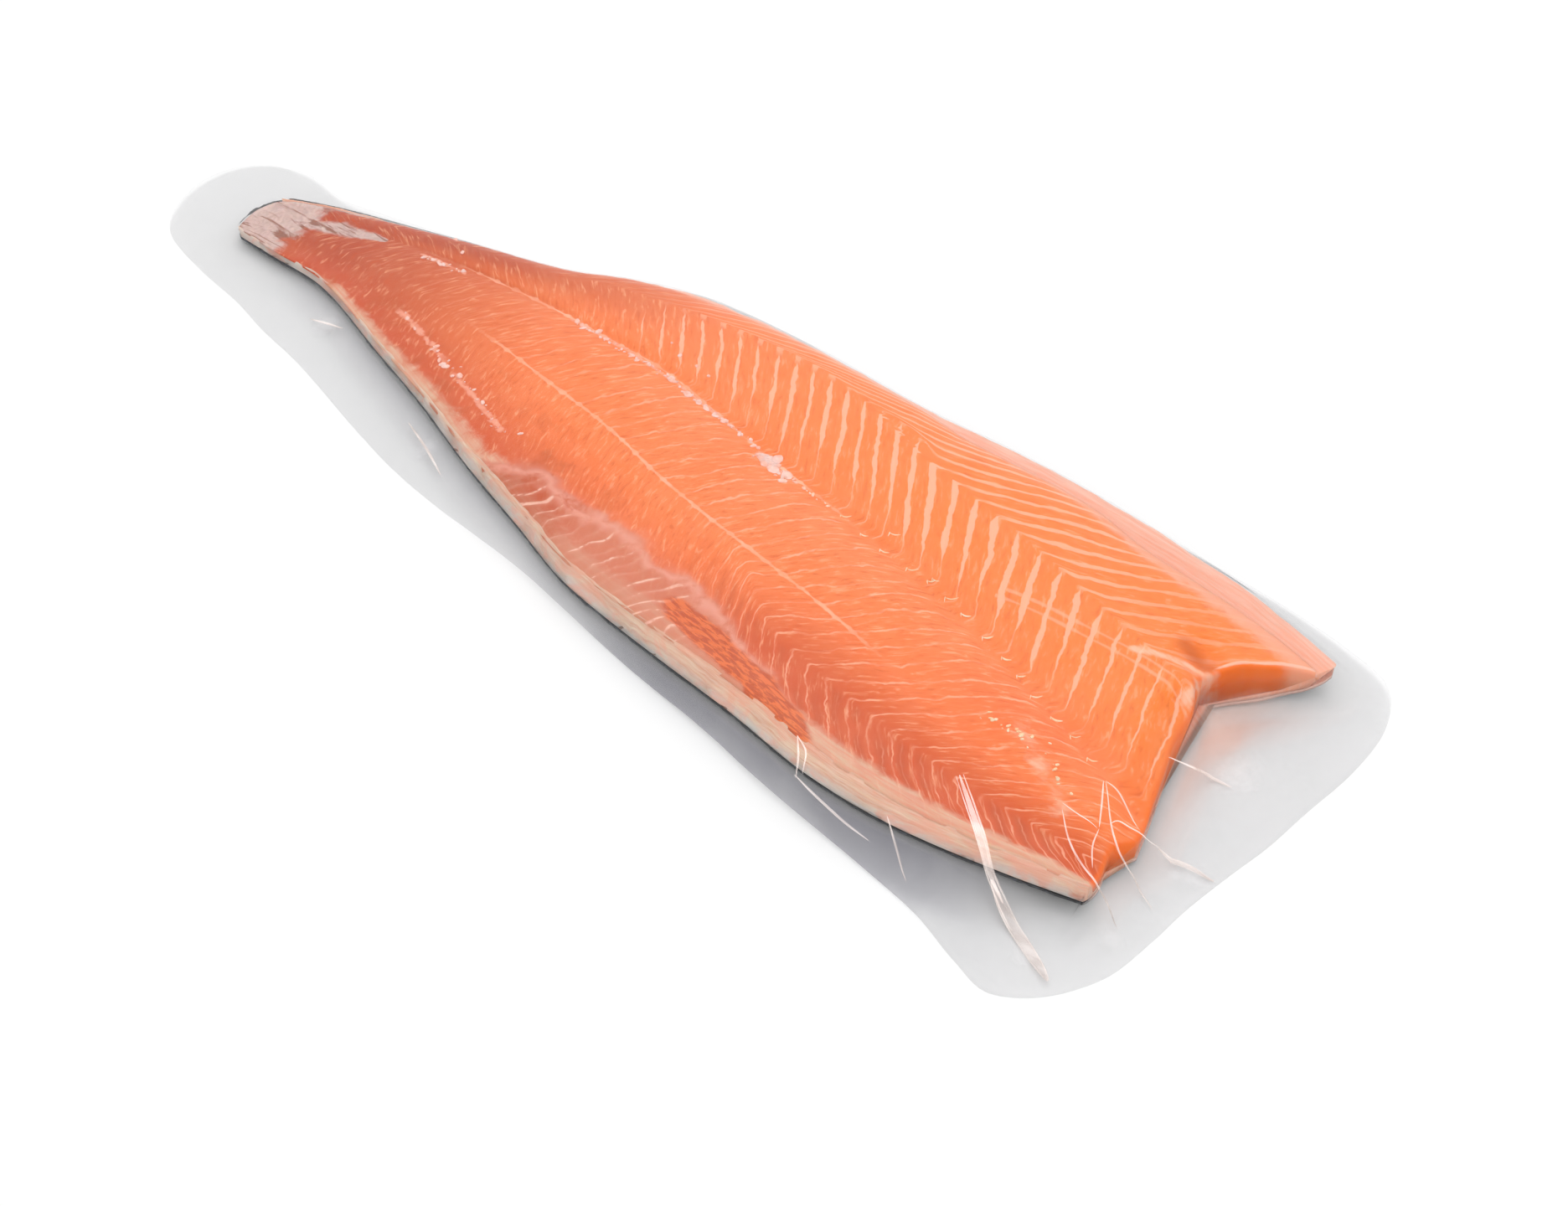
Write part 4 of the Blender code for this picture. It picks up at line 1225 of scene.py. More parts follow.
def film_fields(x, y):
    """What the film's material reads: painted highlights, haze round the fish, painted shadow on the belly
    side and at the tail end, and a blush.
    """
    centre = centre_line(x)
    beyond = np.where(y < centre, belly_edge(x) - y, y - back_edge(x))
    past_head = x - head_cut_x(y)
    past_side = np.maximum(beyond, tail_cut_x(y) - x)
    on_belly = (y < centre) * step(beyond, 0.8, 3.0)
    # Painted shadow: the film is greyed where shade falls beside the raised belly edge, and more faintly at
    # the tail end
    painted_shadow = step(x, 20, 80) * (1 - step(x, 215, 275)) * (1 - 0.5 * step(beyond, 12, 26))
    painted_shadow = painted_shadow + 0.5 * step(x, -250, -200) * (1 - step(x, 20, 80)) * (1 - 0.8 * step(beyond, 5, 20))
    haze = np.maximum(step(past_side, 2.0, 8.0), step(past_head, 9.0, 15.0)) * (0.5 + 1.3 * step(x, 150, 250))
    from_cut = 2 + 6 * step(y, 24, 44)
    # Painted highlights: soft patches where the film is drawn whiter and denser
    painted_highlight = 0 * x
    for at_x, at_y, reach, strength in SHINES:
        painted_highlight = painted_highlight + strength * bump(np.hypot(x - at_x, y - at_y), reach)
    blush = near_segment(x, y, (268, -18), (266, 30), 11) + near_segment(x, y, (266, 30), (276, 60), 9)
    return np.stack([painted_highlight, haze, painted_shadow * on_belly, blush * step(past_head, from_cut, from_cut + 6)], axis=-1)


def web_object(name, rings, count, out, height, offset):
    """One web of the pouch: a grid where it meets the fish and rings out to the rim, as a thin closed wall.

    height gives the web's z from x, y, the share of the way out, and the back web's z there.
    """
    t = np.linspace(0, 1, rings)
    half = (count - 1) // 2
    v = np.concatenate([np.linspace(-1, 0, half, endpoint=False), np.linspace(0, 1, count - half)])
    x, y, _ = lanes(v, t)
    edge = border(np.stack([x, y], axis=-1))
    plan, share, back = skirt_rings(edge, rim_outline(rings - 1, count - 1), out)
    inner = height(x, y, 0 * x, under(x, y) + FILM_FROM)
    outer = height(plan[..., 0], plan[..., 1], share, back)
    points = np.concatenate([
        np.stack([x, y, inner], axis=-1).reshape(-1, 3),
        np.concatenate([plan, outer[..., None]], axis=-1).reshape(-1, 3),
    ])
    around = len(edge)
    faces = sheet_faces(rings, count)
    numbers = border_numbers(rings, count)
    first = rings * count + np.arange(around)
    after = np.roll(np.arange(around), -1)
    faces += np.stack([numbers, first, first[after], numbers[after]], axis=-1).tolist()
    faces += sheet_faces(out - 1, around, wrap=True, start=rings * count)
    fields = film_fields(points[:, 0], points[:, 1])
    obj = mesh_object(name, points, faces, [("film", fields)])
    wall = obj.modifiers.new("thickness", "SOLIDIFY")
    wall.thickness = FILM_THICKNESS * MM
    wall.offset = offset
    return flattened(obj)


def front_height(x, y, share, back):
    """The front web lies tight on the fish, then comes down to the back web and is sealed to it."""
    return np.maximum(tight_film(x, y) * (1 - step(share, 0.7, 1.0)), back + WEB_GAP * (1 - share**3))


def back_height(x, y, share, back):
    return back


def flesh_material(settings):
    """Salmon flesh: colour zones, sheets of fat between flakes, the rib line and the belly's membrane."""
    material, net, shader = new_material(
        "Salmon flesh", Roughness=0.38, Specular_IOR_Level=0.22, IOR=1.38, Subsurface_Weight=0.3,
        Subsurface_Radius=(1.0, 0.35, 0.15), Subsurface_Scale=0.003, Coat_Weight=0.08, Coat_Roughness=0.14,
    )
    shader.subsurface_method = "RANDOM_WALK"
    place = net.place()
    lane = net.field("lane")
    phase, share, half = net.parts(lane)
    streak_zone, back_zone, chevron_zone = net.parts(net.field("zones"))
    tint = net.add("ShaderNodeAttribute", attribute_name="tint")
    colours = net.add("ShaderNodeSeparateColor")
    net.put(colours.inputs[0], tint.outputs["Color"])
    tail, rear, loin = colours.outputs[0], colours.outputs[1], colours.outputs[2]
    glow = tint.outputs["Alpha"]
    veil, rough_at, tail_skin_at = net.parts(net.field("cover"))
    lobe, ridge, beige_at = net.parts(net.field("folds"))
    pale_back, band, neck = net.parts(net.field("edges"))
    bend = net.field("bend", "Fac")
    x_at = net.parts(place)[0]

    # Colour of the muscle
    blotch = net.group("Mottle", Place=place, Scale=38.0, Fine_Share=0.3)["Mask"]
    base = net.mix(loin, settings.flesh_colour, settings.loin_colour)
    base = net.mix(tail, base, settings.tail_colour)
    base = net.mix(net.scaled(rear, 0.8), base, settings.belly_colour)
    base = net.mix(net.scaled(glow, 0.7), base, srgb(255, 112, 48))
    base = net.mix(net.scaled(blotch, 0.12), base, srgb(255, 172, 126))
    grain_at = net.vector(net.scaled(phase, 5.0), net.product(share, half, 0.14), 0.0)
    grains = net.noise(grain_at, 1.0, 4.0, 0.62, 0.5)
    base = net.mix(net.fade(grains, 0.52, 0.72, 0.0, 0.5), base, srgb(255, 186, 142))
    base = net.mix(net.fade(grains, 0.48, 0.28, 0.0, 0.45), base, srgb(214, 84, 26))
    blotches = net.fade(net.noise(place, 46.0, 3.0, 0.55, 0.4), 0.5, 0.68)
    edge_dark = net.product(blotches, net.fade(share, -0.45, -0.75), net.fade(x_at, 0.05, -0.04), 0.55)
    base = net.mix(edge_dark, base, srgb(196, 86, 32))

    # Distance to the nearest sheet of fat, in millimetres
    low = net.fade(share, -0.015, -0.05)
    wobble = net.scaled(net.noise(place, 46.0, 2.0), 0.52, -0.26)
    wobble = net.math("ADD", wobble, net.scaled(net.noise(place, 240.0, 2.0), 0.16, -0.08))
    phase = net.math("ADD", phase, net.product(wobble, net.scaled(low, 0.8, 1.0)))
    distance = net.scaled(net.math("PINGPONG", phase, 0.5), settings.flake / MM)
    number = net.math("ROUND", phase)
    pick = net.add("ShaderNodeTexWhiteNoise", noise_dimensions="1D")
    net.put(pick.inputs["W"], number)
    chance = pick.outputs["Value"]
    along = net.vector(net.scaled(number, 3.7), net.scaled(bend, 3.6), 0.0)
    bulge = net.fade(net.noise(along, 1.0, 3.0, 0.6), 0.32, 0.68)
    broken = net.fade(net.noise(place, 95.0, 3.0), 0.42, 0.6)

    # Each flake is deeper in colour towards the head side of its sheet of fat
    part = net.math("FRACT", phase)
    deep = net.product(net.fade(part, 0.08, 0.4), net.fade(part, 0.5, 0.95, 1.0, 0.0))
    turn = net.fade(x_at, 0.03, 0.115, RIB_LINE, RIB_LINE - TURN_PAST_RIBS)
    past_ribs = net.fade(net.math("SUBTRACT", share, turn), 0.01, -0.04)
    chevrons = net.product(past_ribs, chevron_zone)
    patchy = net.fade(net.noise(place, 34.0, 2.0), 0.38, 0.62)
    base = net.mix(net.product(deep, chevrons, patchy, 0.6), base, srgb(196, 82, 34))
    above = net.product(deep, net.fade(share, 0.0, 0.1), streak_zone, 0.3)
    base = net.mix(above, base, srgb(252, 126, 54))

    # Broad streaks of the loin, a lens along each sheet of fat, and the lines behind the bend
    from_low_end = net.math("SUBTRACT", bend, net.scaled(chance, 0.2, 0.03))
    grow = net.fade(from_low_end, 0.0, 0.3)
    shrink = net.fade(bend, 0.84, 1.0, 1.0, 0.0)
    wide = net.product(grow, shrink, net.scaled(bulge, 0.65, 0.6), streak_zone)
    wide = net.scaled(wide, settings.streak_width / MM * 0.5)
    streak = net.fade(net.math("SUBTRACT", wide, distance), -0.15, 0.4)
    streak = net.product(streak, net.fade(from_low_end, -0.04, 0.1))
    streak = net.product(streak, net.fade(bend, 0.98, 1.03, 1.0, 0.0), net.fade(streak_zone, 0.0, 0.2))
    on_loin = net.product(net.fade(share, 0.0, 0.03), streak_zone)
    thin = net.product(net.fade(distance, 0.6, 0.15), on_loin, net.scaled(broken, 0.3, 0.3))
    behind = net.fade(bend, 0.92, 1.02)
    back_width = net.product(net.scaled(back_zone, -0.35, 1.6), net.scaled(bulge, 0.8, 0.6))
    back = net.product(net.fade(net.math("SUBTRACT", back_width, distance), -0.35, 0.3), behind, streak_zone)
    loin_lines = net.either(net.scaled(streak, 0.82), thin, net.scaled(back, 0.72))

    # Thin sheets of fat of the belly half, the line along the ribs and the one along the backbone
    fine = net.product(net.fade(distance, 0.9, 0.25), low, net.scaled(past_ribs, -1.0, 1.0))
    fine = net.product(fine, net.scaled(broken, 0.5, 0.16), net.fade(x_at, -0.15, 0.04, 0.25, 1.0))
    between = net.math("SUBTRACT", settings.flake / MM * 0.5, distance)
    halfway = net.product(net.fade(between, 0.6, 0.15), net.fade(x_at, 0.13, 0.2), 0.6)
    rays = net.either(net.fade(distance, 0.75, 0.2), halfway)
    rays = net.product(rays, chevrons, net.scaled(broken, 0.4, 0.2))
    off_rib = net.product(net.math("ABSOLUTE", net.scaled(share, 1.0, -RIB_LINE)), half)
    off_rib = net.math("ADD", off_rib, net.scaled(net.noise(place, 200.0, 2.0), 1.8, -0.9))
    knots = net.fade(distance, 2.4, 0.4)
    rib = net.fade(net.math("SUBTRACT", net.scaled(knots, 0.6, 0.55), off_rib), -0.35, 0.25)
    rib = net.product(rib, net.fade(x_at, -0.13, -0.08), net.fade(x_at, 0.16, 0.12))
    rib = net.product(rib, net.scaled(broken, 0.3, 0.5))
    off_spine = net.product(net.math("ABSOLUTE", share), half)
    off_spine = net.math("ADD", off_spine, net.scaled(net.noise(place, 170.0, 3.0), 2.0, -1.0))
    spine = net.fade(net.math("SUBTRACT", net.scaled(knots, 0.7, 0.3), off_spine), -0.3, 0.3)
    spine = net.product(spine, net.fade(x_at, -0.19, -0.1), net.fade(x_at, 0.11, 0.06))
    spine = net.product(spine, net.scaled(broken, 0.5, 0.4))
    two = net.math("ABSOLUTE", net.scaled(band, 1.0, -2.3))
    bands = net.product(net.fade(net.math("ADD", two, net.scaled(broken, 0.5)), 1.5, 0.3), 0.5)
    lines = net.either(loin_lines, fine, rays, rib, spine, bands)
    base = net.mix(lines, base, settings.line_colour)
    shreds = net.scaled(net.noise(place, 210.0, 4.0, 0.65, 0.6), 2.0, -1.0)
    gaps = net.either(net.fade(net.noise(place, 60.0, 2.0), 0.44, 0.58), net.fade(share, -0.2, -0.1))
    shreds = net.fade(net.math("ADD", net.field("tissue", "Fac"), shreds), 0.5, 0.95)
    base = net.mix(net.product(shreds, gaps, 0.75), base, srgb(248, 172, 146))

    cut, recess_painted_shade, lip = net.parts(net.field("ends"))
    # Painted shade: darker orange in the neck's hollow
    base = net.mix(net.scaled(recess_painted_shade, 0.65), base, srgb(200, 88, 20))
    base = net.mix(net.scaled(cut, 0.85), base, srgb(255, 116, 26))

    # Pale fat at the back edge and at the neck, beige at the belly edge
    ragged = net.scaled(net.noise(place, 95.0, 4.0, 0.6, 0.8), 0.9, -0.45)
    pale = net.fade(net.math("ADD", pale_back, ragged), 0.35, 0.85)
    base = net.mix(net.scaled(pale, 0.75), base, srgb(250, 172, 140))
    torn = net.noise(net.stretched(place, (90.0, 300.0, 60.0)), 1.0, 3.0)
    torn = net.math("ADD", ragged, net.scaled(torn, 1.2, -0.6))
    torn_neck = net.fade(net.math("ADD", neck, torn), 0.3, 0.95)
    base = net.mix(net.product(torn_neck, 0.75), base, srgb(252, 202, 174))
    torn_lip = net.fade(net.math("ADD", lip, ragged), 0.35, 0.8)
    base = net.mix(net.product(torn_lip, 0.7), base, srgb(252, 200, 178))
    lengthwise = net.group("Fibres", Lane=lane, Along=0.5, Across=40.0)["Mask"]
    beige = net.fade(net.math("ADD", beige_at, ragged), 0.3, 0.8)
    soft = net.mix(lengthwise, srgb(228, 160, 134), srgb(226, 192, 164))
    base = net.mix(net.scaled(beige, 0.85), base, soft)

    # The belly's membrane, wrinkled and lobed, and the rough patch on it
    toward_tail = net.fade(net.math("ADD", x_at, net.scaled(ragged, 0.02)), 0.014, -0.022)
    veiled = net.mix(toward_tail, srgb(212, 126, 96), srgb(188, 76, 26))
    base = net.mix(net.scaled(veil, 0.72), base, veiled)
    cloud = net.noise(place, 150.0, 4.0, 0.6, 0.6)
    base = net.mix(net.product(lobe, net.fade(cloud, 0.2, 0.55), 0.85), base, settings.membrane_colour)
    crest = net.either(net.scaled(ridge, 0.5), net.fade(ridge, 0.24, 0.6))
    base = net.mix(net.product(crest, net.fade(cloud, 0.2, 0.6), 0.9), base, srgb(248, 196, 174))
    strands = net.group("Fibres", Lane=lane, Along=1.2, Across=64.0)["Mask"]
    rough = net.fade(net.math("ADD", rough_at, net.scaled(ragged, 0.6)), 0.3, 0.6)
    grain = net.mix(net.fade(strands, 0.3, 0.7), srgb(196, 74, 10), srgb(234, 112, 44))
    base = net.mix(net.scaled(rough, 0.85), base, grain)

    # Skin that folds over the tail end
    tail_skin = net.fade(net.math("ADD", tail_skin_at, net.scaled(ragged, 1.3)), 0.35, 0.8)
    silver = net.mix(net.noise(place, 210.0, 3.0, 0.6, 2.0), srgb(176, 146, 138), srgb(240, 214, 206))
    layers = net.noise(net.stretched(place, (26.0, 150.0, 60.0)), 1.0, 4.0, 0.6, 1.4)
    silver = net.mix(net.fade(layers, 0.52, 0.64), silver, srgb(150, 104, 88))
    base = net.mix(net.scaled(tail_skin, 0.92), base, silver)
    net.put(shader.inputs["Base Color"], base)

    height = net.math("ADD", net.scaled(lines, -0.4), net.scaled(net.noise(place, 420.0, 3.0), 0.5))
    height = net.math("ADD", height, net.product(rough, strands, 0.12))
    net.put(shader.inputs["Normal"], net.bump(height, 0.0005, 0.35))
    return material


def crumb_material():
    """Little lumps of fat on the flesh, pale pink to cream, wet."""
    material, net, shader = new_material(
        "Salmon fat crumbs", Roughness=0.25, Specular_IOR_Level=0.5, Subsurface_Weight=0.3,
        Subsurface_Radius=(1.0, 0.7, 0.5), Subsurface_Scale=0.001,
    )
    place = net.place()
    shade = net.noise(place, 240.0, 2.0)
    toward_head = net.fade(net.parts(place)[0], 0.05, 0.1)
    near = net.mix(net.fade(shade, 0.35, 0.65), srgb(255, 182, 160), srgb(255, 206, 194))
    far = net.mix(net.fade(shade, 0.35, 0.65), srgb(255, 198, 150), srgb(255, 226, 190))
    net.put(shader.inputs["Base Color"], net.mix(toward_head, near, far))
    return material


def fat_material():
    """The rim of fat: pale, streaked along the fillet, pinker on the back and beige on the belly."""
    material, net, shader = new_material(
        "Salmon fat", Roughness=0.35, Specular_IOR_Level=0.45, Subsurface_Weight=0.3,
        Subsurface_Radius=(1.0, 0.6, 0.4), Subsurface_Scale=0.003, Coat_Weight=0.3, Coat_Roughness=0.12,
    )
    place = net.place()
    lane = net.field("lane")
    _, from_edge, side = net.parts(lane)
    strands = net.group("Fibres", Lane=lane, Along=0.035, Across=0.75)["Mask"]
    fine = net.group("Fibres", Lane=lane, Along=0.12, Across=2.2)["Mask"]
    blotch = net.group("Mottle", Place=place, Scale=55.0, Fine_Share=0.4)["Mask"]
    belly = net.mix(strands, srgb(226, 196, 166), srgb(206, 146, 118))
    belly = net.mix(net.scaled(fine, 0.45), belly, srgb(236, 222, 206))
    belly = net.mix(net.fade(from_edge, 3.5, 1.0), belly, srgb(206, 198, 190))
    back = net.mix(strands, srgb(252, 196, 174), srgb(250, 168, 138))
    base = net.mix(side, belly, back)
    base = net.mix(net.scaled(blotch, 0.25), base, srgb(240, 180, 156))
    swirl = net.fade(net.noise(net.stretched(place, (40.0, 110.0, 40.0)), 1.0, 4.0, 0.6, 1.2), 0.45, 0.62)
    base = net.mix(net.product(swirl, net.scaled(side, -0.5, 0.55)), base, srgb(234, 158, 132))
    near_flesh = net.fade(from_edge, 3.0, 9.0)
    base = net.mix(net.product(near_flesh, 0.35), base, srgb(232, 138, 96))
    net.put(shader.inputs["Base Color"], base)
    net.put(shader.inputs["Normal"], net.bump(net.math("ADD", strands, net.scaled(fine, 0.5)), 0.0004, 0.4))
    return material


def skin_material():
    """Fish skin: blue-black back, silver belly, with small scales in rows."""
    material, net, shader = new_material(
        "Salmon skin", Roughness=0.3, Metallic=0.25, Coat_Weight=0.4, Coat_Roughness=0.1,
    )
    place = net.place()
    _, from_edge, side = net.parts(net.field("lane"))
    scales = net.add("ShaderNodeTexVoronoi", feature="DISTANCE_TO_EDGE")
    net.put(scales.inputs["Vector"], net.stretched(place, (230.0, 330.0, 60.0)))
    scales.inputs["Scale"].default_value = 1.0
    scales.inputs["Randomness"].default_value = 0.35
    seam = net.fade(scales.outputs["Distance"], 0.02, 0.2)
    blotch = net.group("Mottle", Place=place, Scale=70.0, Fine_Share=0.5)["Mask"]
    silver = net.mix(seam, srgb(96, 102, 112), srgb(196, 202, 210))
    dark = net.mix(seam, srgb(16, 18, 22), srgb(58, 64, 74))
    inward = net.fade(from_edge, 4.0, 26.0)
    base = net.mix(net.product(inward, net.scaled(side, -0.4, 0.6)), dark, silver)
    base = net.mix(net.scaled(blotch, 0.35), base, srgb(22, 24, 28))
    x_at, y_at, _ = net.parts(place)
    at_head = net.product(net.fade(x_at, 0.247, 0.253), net.fade(y_at, -0.07, -0.06))
    base = net.mix(net.scaled(at_head, 0.85), base, srgb(240, 196, 180))
    net.put(shader.inputs["Base Color"], base)
    net.put(shader.inputs["Normal"], net.bump(seam, 0.0004, 0.5))
    return material


# Opacity of the film where it is clear, seen edge-on, and tinted (the blush and the painted shadow), and the
# share of it that a shadow leaves out
FILM_CLEAR = 0.006
FILM_EDGE_ON = 0.07
FILM_TINTED = 0.14
FILM_LETS_LIGHT = 0.75


def make_film_group(settings):
    """Colour and opacity of the film: clear, milky between webs, whiter and denser at painted highlights, and
    greyer with painted shadow beside the belly.
    """
    tree = bpy.data.node_groups.new("Film milk", "ShaderNodeTree")
    start, end = group_sockets(
        tree,
        (
            ("Place", "Vector", None), ("Crease", "Float", 0.0), ("Haze", "Float", 0.0),
            ("Dim", "Float", 0.0), ("Blush", "Float", 0.0),
        ),
        (("Color", "Color", None), ("Opacity", "Float", None)),
    )
    net = Net(tree)
    place = start.outputs["Place"]
    cloud = net.noise(place, 28.0, 3.0, 0.5, 0.5)
    fine = net.noise(place, 160.0, 3.0, 0.6, 1.0)
    # Painted shadow: grey film colour and extra opacity beside the belly
    painted_shadow = net.product(start.outputs["Dim"], net.fade(cloud, 0.1, 0.6, 0.7, 1.0))
    colour = net.mix(painted_shadow, settings.film_colour, settings.film_shadow)
    colour = net.mix(start.outputs["Blush"], colour, settings.film_blush)
    # Painted highlight: near-white film colour at the shines
    colour = net.mix(start.outputs["Crease"], colour, srgb(255, 254, 254))
    hazy = net.scaled(net.fade(cloud, 0.3, 0.7), 0.025, settings.film_haze)
    hazy = net.product(start.outputs["Haze"], hazy)
    painted_highlight = net.product(start.outputs["Crease"], net.scaled(fine, 0.5, 0.1))
    blush = net.scaled(start.outputs["Blush"], FILM_TINTED)
    opacity = net.either(hazy, net.scaled(painted_shadow, FILM_TINTED), painted_highlight, blush)
    net.put(end.inputs["Color"], colour)
    net.put(end.inputs["Opacity"], opacity)


def film_material():
    """Clear film: the milky group's colour and opacity, denser edge-on, and a light shadow."""
    material, net, shader = new_material("Clear film", Roughness=0.12, Specular_IOR_Level=0.25)
    film = net.add("ShaderNodeAttribute", attribute_name="film")
    fields = net.add("ShaderNodeSeparateColor")
    net.put(fields.inputs[0], film.outputs["Color"])
    milk = net.group(
        "Film milk", Place=net.place(), Crease=fields.outputs[0], Haze=fields.outputs[1],
        Dim=fields.outputs[2], Blush=film.outputs["Alpha"],
    )
    edge_on = net.add("ShaderNodeLayerWeight")
    edge_on.inputs["Blend"].default_value = 0.25
    sheen = net.scaled(edge_on.outputs["Facing"], FILM_EDGE_ON, FILM_CLEAR)
    net.put(shader.inputs["Base Color"], milk["Color"])
    light = net.add("ShaderNodeLightPath")
    opacity = net.math("ADD", milk["Opacity"], sheen, clamp=True)
    shaded = net.scaled(light.outputs["Is Shadow Ray"], -FILM_LETS_LIGHT, 1.0)
    net.put(shader.inputs["Alpha"], net.product(opacity, shaded))
    return material


def fold_highlight_material():
    """Folds of the film: clear in the middle, white where they turn away, and glowing as a painted highlight.
    """
    material, net, shader = new_material("Film folds", Roughness=0.18, Specular_IOR_Level=0.5)
    edge_on = net.add("ShaderNodeLayerWeight")
    edge_on.inputs["Blend"].default_value = 0.4
    streaky = net.noise(net.stretched(net.place(), (60.0, 260.0, 60.0)), 1.0, 2.0)
    colour = net.mix(streaky, srgb(255, 232, 222), srgb(255, 252, 250))
    net.put(shader.inputs["Base Color"], colour)
    # Painted highlight: the folds glow white though they are no lamp
    net.put(shader.inputs["Emission Color"], colour)
    shader.inputs["Emission Strength"].default_value = 0.5
    alpha = net.scaled(edge_on.outputs["Facing"], 0.4, 0.26)
    net.put(shader.inputs["Alpha"], net.product(alpha, net.fade(streaky, 0.2, 0.7, 0.55, 1.0)))
    return material


def colour_setting(name, description, channels):
    """A colour that the panel shows, with its default in sRGB."""
    return bpy.props.FloatVectorProperty(
        name=name, description=description, subtype="COLOR", default=srgb(*channels),
    )


class SalmonPackSettings(bpy.types.PropertyGroup):
    """Sizes and colours of the pack."""

    flake: bpy.props.FloatProperty(
        name="Flake", description="Distance between two sheets of fat", default=FLAKE * MM,
        subtype="DISTANCE", unit="LENGTH",
    )
    streak_width: bpy.props.FloatProperty(
        name="Streak width", description="Widest part of a streak of fat on the loin", default=0.0036,
        subtype="DISTANCE", unit="LENGTH",
    )
    flesh_colour: colour_setting("Flesh", "Colour of the belly half", (254, 130, 66))
    loin_colour: colour_setting("Loin", "Colour of the loin towards the head", (255, 131, 44))
    tail_colour: colour_setting("Tail", "Colour of the tail end", (184, 74, 42))
    belly_colour: colour_setting("Belly", "Colour of the belly flap", (202, 68, 8))
    line_colour: colour_setting("Fat lines", "Colour of the fat between flakes", (255, 186, 152))
    membrane_colour: colour_setting("Membrane", "Colour of the belly's membrane", (236, 160, 138))
    film_colour: colour_setting("Film", "Colour of the film's haze", (253, 252, 254))
    # Colour of the painted shadow on the film beside the belly
    film_shadow: colour_setting("Film shadow", "Colour of the film beside the belly", (160, 158, 170))
    film_blush: colour_setting("Film blush", "Colour of the film at the head cut", (255, 214, 198))
    film_haze: bpy.props.FloatProperty(
        name="Film haze", description="Opacity of one web round the fish", default=0.014, min=0.0, max=1.0,
    )


def clothed(obj, material, slot, *nodes):
    """Gives a finished piece its material and its body, and hides the solids it stands for; slot is passed on
    but not used.
    """
    obj.data.materials.clear()
    obj.data.materials.append(material)
    return finish_piece(obj, slot, *nodes)


class SalmonEffects(bpy.types.Operator):
    """Makes the shader node groups that the materials share"""

    bl_idname = "salmon_pack.effects"
    bl_label = "Shared effects"

    def execute(self, context):
        make_mottle_group()
        make_fibre_group()
        make_film_group(context.scene.salmon_pack)
        make_crumb_tree()
        make_strand_tree()
        return {"FINISHED"}


class SalmonFlesh(bpy.types.Operator):
    """Makes the flesh with its flakes"""

    bl_idname = "salmon_pack.flesh"
    bl_label = "Flesh"

    def execute(self, context):
        clothed(flesh_object(), flesh_material(context.scene.salmon_pack), "flesh", "flesh")
        return {"FINISHED"}


class SalmonCrumbs(bpy.types.Operator):
    """Strews the crumbs and hooks of fat on the flesh"""

    bl_idname = "salmon_pack.crumbs"
    bl_label = "Crumbs of fat"

    def execute(self, context):
        flesh = bpy.data.objects["flesh_body"]
        material = crumb_material()
        points, sizes, turns = crumb_points()
        crumbs = mesh_object("fat_crumbs", points, [], [("size", sizes), ("turn", turns)])
        clothed(grown(crumbs, "Crumbs", Surface=flesh, Material=material), material, "fat")
        points, edges, widths = strand_paths(hook_paths())
        hooks = mesh_object("fat_hooks", points, [], [("size", widths)], edges)
        clothed(grown(hooks, "Strands", Surface=flesh, Material=material), material, "fat")
        return {"FINISHED"}


class SalmonFat(bpy.types.Operator):
    """Makes the fat under the flesh and its rim"""

    bl_idname = "salmon_pack.fat"
    bl_label = "Rim of fat"

    def execute(self, context):
        clothed(fat_object(), fat_material(), "fat", "fat_layer")
        return {"FINISHED"}


class SalmonSkin(bpy.types.Operator):
    """Makes the skin"""

    bl_idname = "salmon_pack.skin"
    bl_label = "Skin"

    def execute(self, context):
        clothed(skin_object(), skin_material(), "skin", "skin")
        return {"FINISHED"}


class SalmonFilm(bpy.types.Operator):
    """Makes the film pouch: the web over the fish, both webs round it, and the web below it"""

    bl_idname = "salmon_pack.film"
    bl_label = "Film"

    def execute(self, context):
        material = film_material()
        clothed(web_object("film_front", *FRONT_WEB, front_height, 1.0), material, "film", "pouch")
        clothed(web_object("film_back", *BACK_WEB, back_height, 0.0), material, "film", "pouch")
        fold_highlight = fold_highlight_material()
        points, edges, widths = strand_paths(FILM_FOLDS)
        folds = mesh_object("film_folds", points, [], [("size", widths)], edges)
        web = bpy.data.objects["film_front"]
        clothed(grown(folds, "Strands", Surface=web, Material=fold_highlight), fold_highlight, "film")
        return {"FINISHED"}


class SalmonStage(bpy.types.Operator):
    """Makes the floor, the soft lights and the camera"""

    bl_idname = "salmon_pack.stage"
    bl_label = "Stage"

    def execute(self, context):
        make_floor()
        make_lights()
        make_camera(context)
        return {"FINISHED"}


# The floor's half width, the surround's strength, and the soft boxes as (name, place, size, power)
FLOOR_REACH = 12000.0
SURROUND = 0.75
SOFT_BOXES = (
    ("key", (-0.5, 0.9, 1.5), 1.2, 6.5), ("fill", (1.2, -0.6, 1.4), 1.0, 4.5),
    ("top", (0.1, 0.1, 1.9), 1.4, 5.0),
)


def make_floor():
    """A pale floor far larger than the pack."""
    reach = FLOOR_REACH
    points = [(-reach, -reach, 0), (reach, -reach, 0), (reach, reach, 0), (-reach, reach, 0)]
    floor = mesh_object("floor", points, [(0, 1, 2, 3)])
    material, net, shader = new_material("Pale floor", Roughness=0.9, Specular_IOR_Level=0.1)
    shade = net.noise(net.place(), 6.0, 2.0)
    net.put(shader.inputs["Base Color"], net.mix(shade, srgb(250, 250, 250), srgb(252, 252, 252)))
    floor.data.materials.append(material)


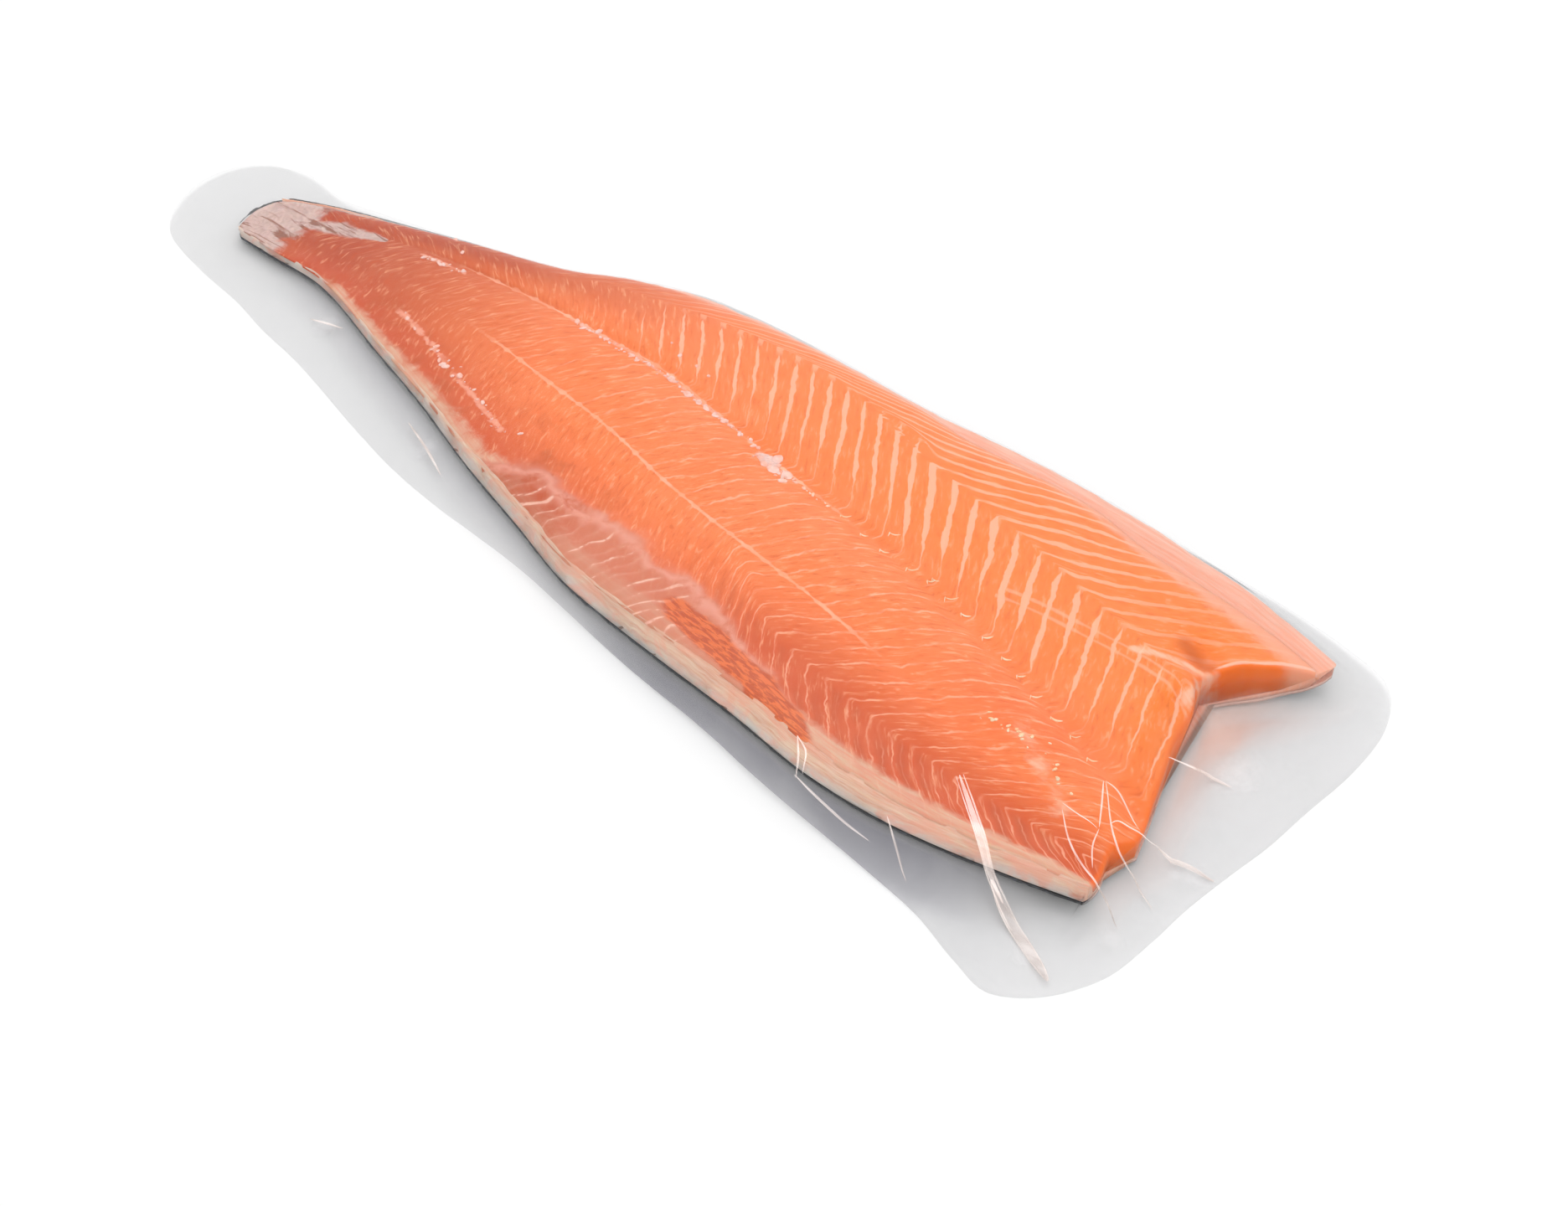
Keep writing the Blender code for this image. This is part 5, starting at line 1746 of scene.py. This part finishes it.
def make_lights():
    """A white surround and three soft boxes."""
    world = bpy.data.worlds.new("Studio")
    world.use_nodes = True
    surround = world.node_tree.nodes["Background"]
    surround.inputs["Color"].default_value = (1, 1, 1, 1)
    surround.inputs["Strength"].default_value = SURROUND
    bpy.context.scene.world = world
    for name, place, size, power in SOFT_BOXES:
        data = bpy.data.lights.new(name, "AREA")
        data.size = size
        data.energy = power
        lamp = bpy.data.objects.new(name, data)
        lamp.location = place
        lamp.rotation_mode = "QUATERNION"
        lamp.rotation_quaternion = (-Vector(place)).to_track_quat("-Z", "Y")
        bpy.context.collection.objects.link(lamp)


def make_camera(context):
    """The camera at the photograph's place."""
    azimuth = math.radians(VIEW_AZIMUTH)
    elevation = math.radians(VIEW_ELEVATION)
    level = math.cos(elevation)
    back = Vector((math.sin(azimuth) * level, -math.cos(azimuth) * level, math.sin(elevation)))
    data = bpy.data.cameras.new("photo view")
    data.lens = LENS
    data.sensor_width = SENSOR
    camera = bpy.data.objects.new("photo view", data)
    camera.location = Vector(VIEW_TARGET) + back * VIEW_DISTANCE
    camera.rotation_mode = "QUATERNION"
    camera.rotation_quaternion = (-back).to_track_quat("-Z", "Y")
    context.collection.objects.link(camera)
    context.scene.camera = camera
    context.scene.view_settings.view_transform = "Standard"


OPERATORS = (SalmonEffects, SalmonFlesh, SalmonCrumbs, SalmonFat, SalmonSkin, SalmonFilm, SalmonStage)


class SalmonPanel(bpy.types.Panel):
    """Lists the pack's sizes and the steps that build it"""

    bl_idname = "VIEW3D_PT_salmon_pack"
    bl_label = "Salmon pack"
    bl_space_type = "VIEW_3D"
    bl_region_type = "UI"
    bl_category = "Salmon pack"

    def draw(self, context):
        settings = context.scene.salmon_pack
        for name in SalmonPackSettings.__annotations__:
            self.layout.prop(settings, name)
        for operator in OPERATORS:
            self.layout.operator(operator.bl_idname)


CLASSES = (SalmonPackSettings, *OPERATORS, SalmonPanel)


def register():
    for cls in CLASSES:
        bpy.utils.register_class(cls)
    bpy.types.Scene.salmon_pack = bpy.props.PointerProperty(type=SalmonPackSettings)


def unregister():
    del bpy.types.Scene.salmon_pack
    for cls in reversed(CLASSES):
        bpy.utils.unregister_class(cls)


def main():
    """Builds every piece and the stage."""
    register()
    bpy.ops.salmon_pack.effects()
    bpy.ops.salmon_pack.flesh()
    bpy.ops.salmon_pack.crumbs()
    bpy.ops.salmon_pack.fat()
    bpy.ops.salmon_pack.skin()
    bpy.ops.salmon_pack.film()
    bpy.ops.salmon_pack.stage()


if __name__ == "__main__":
    main()
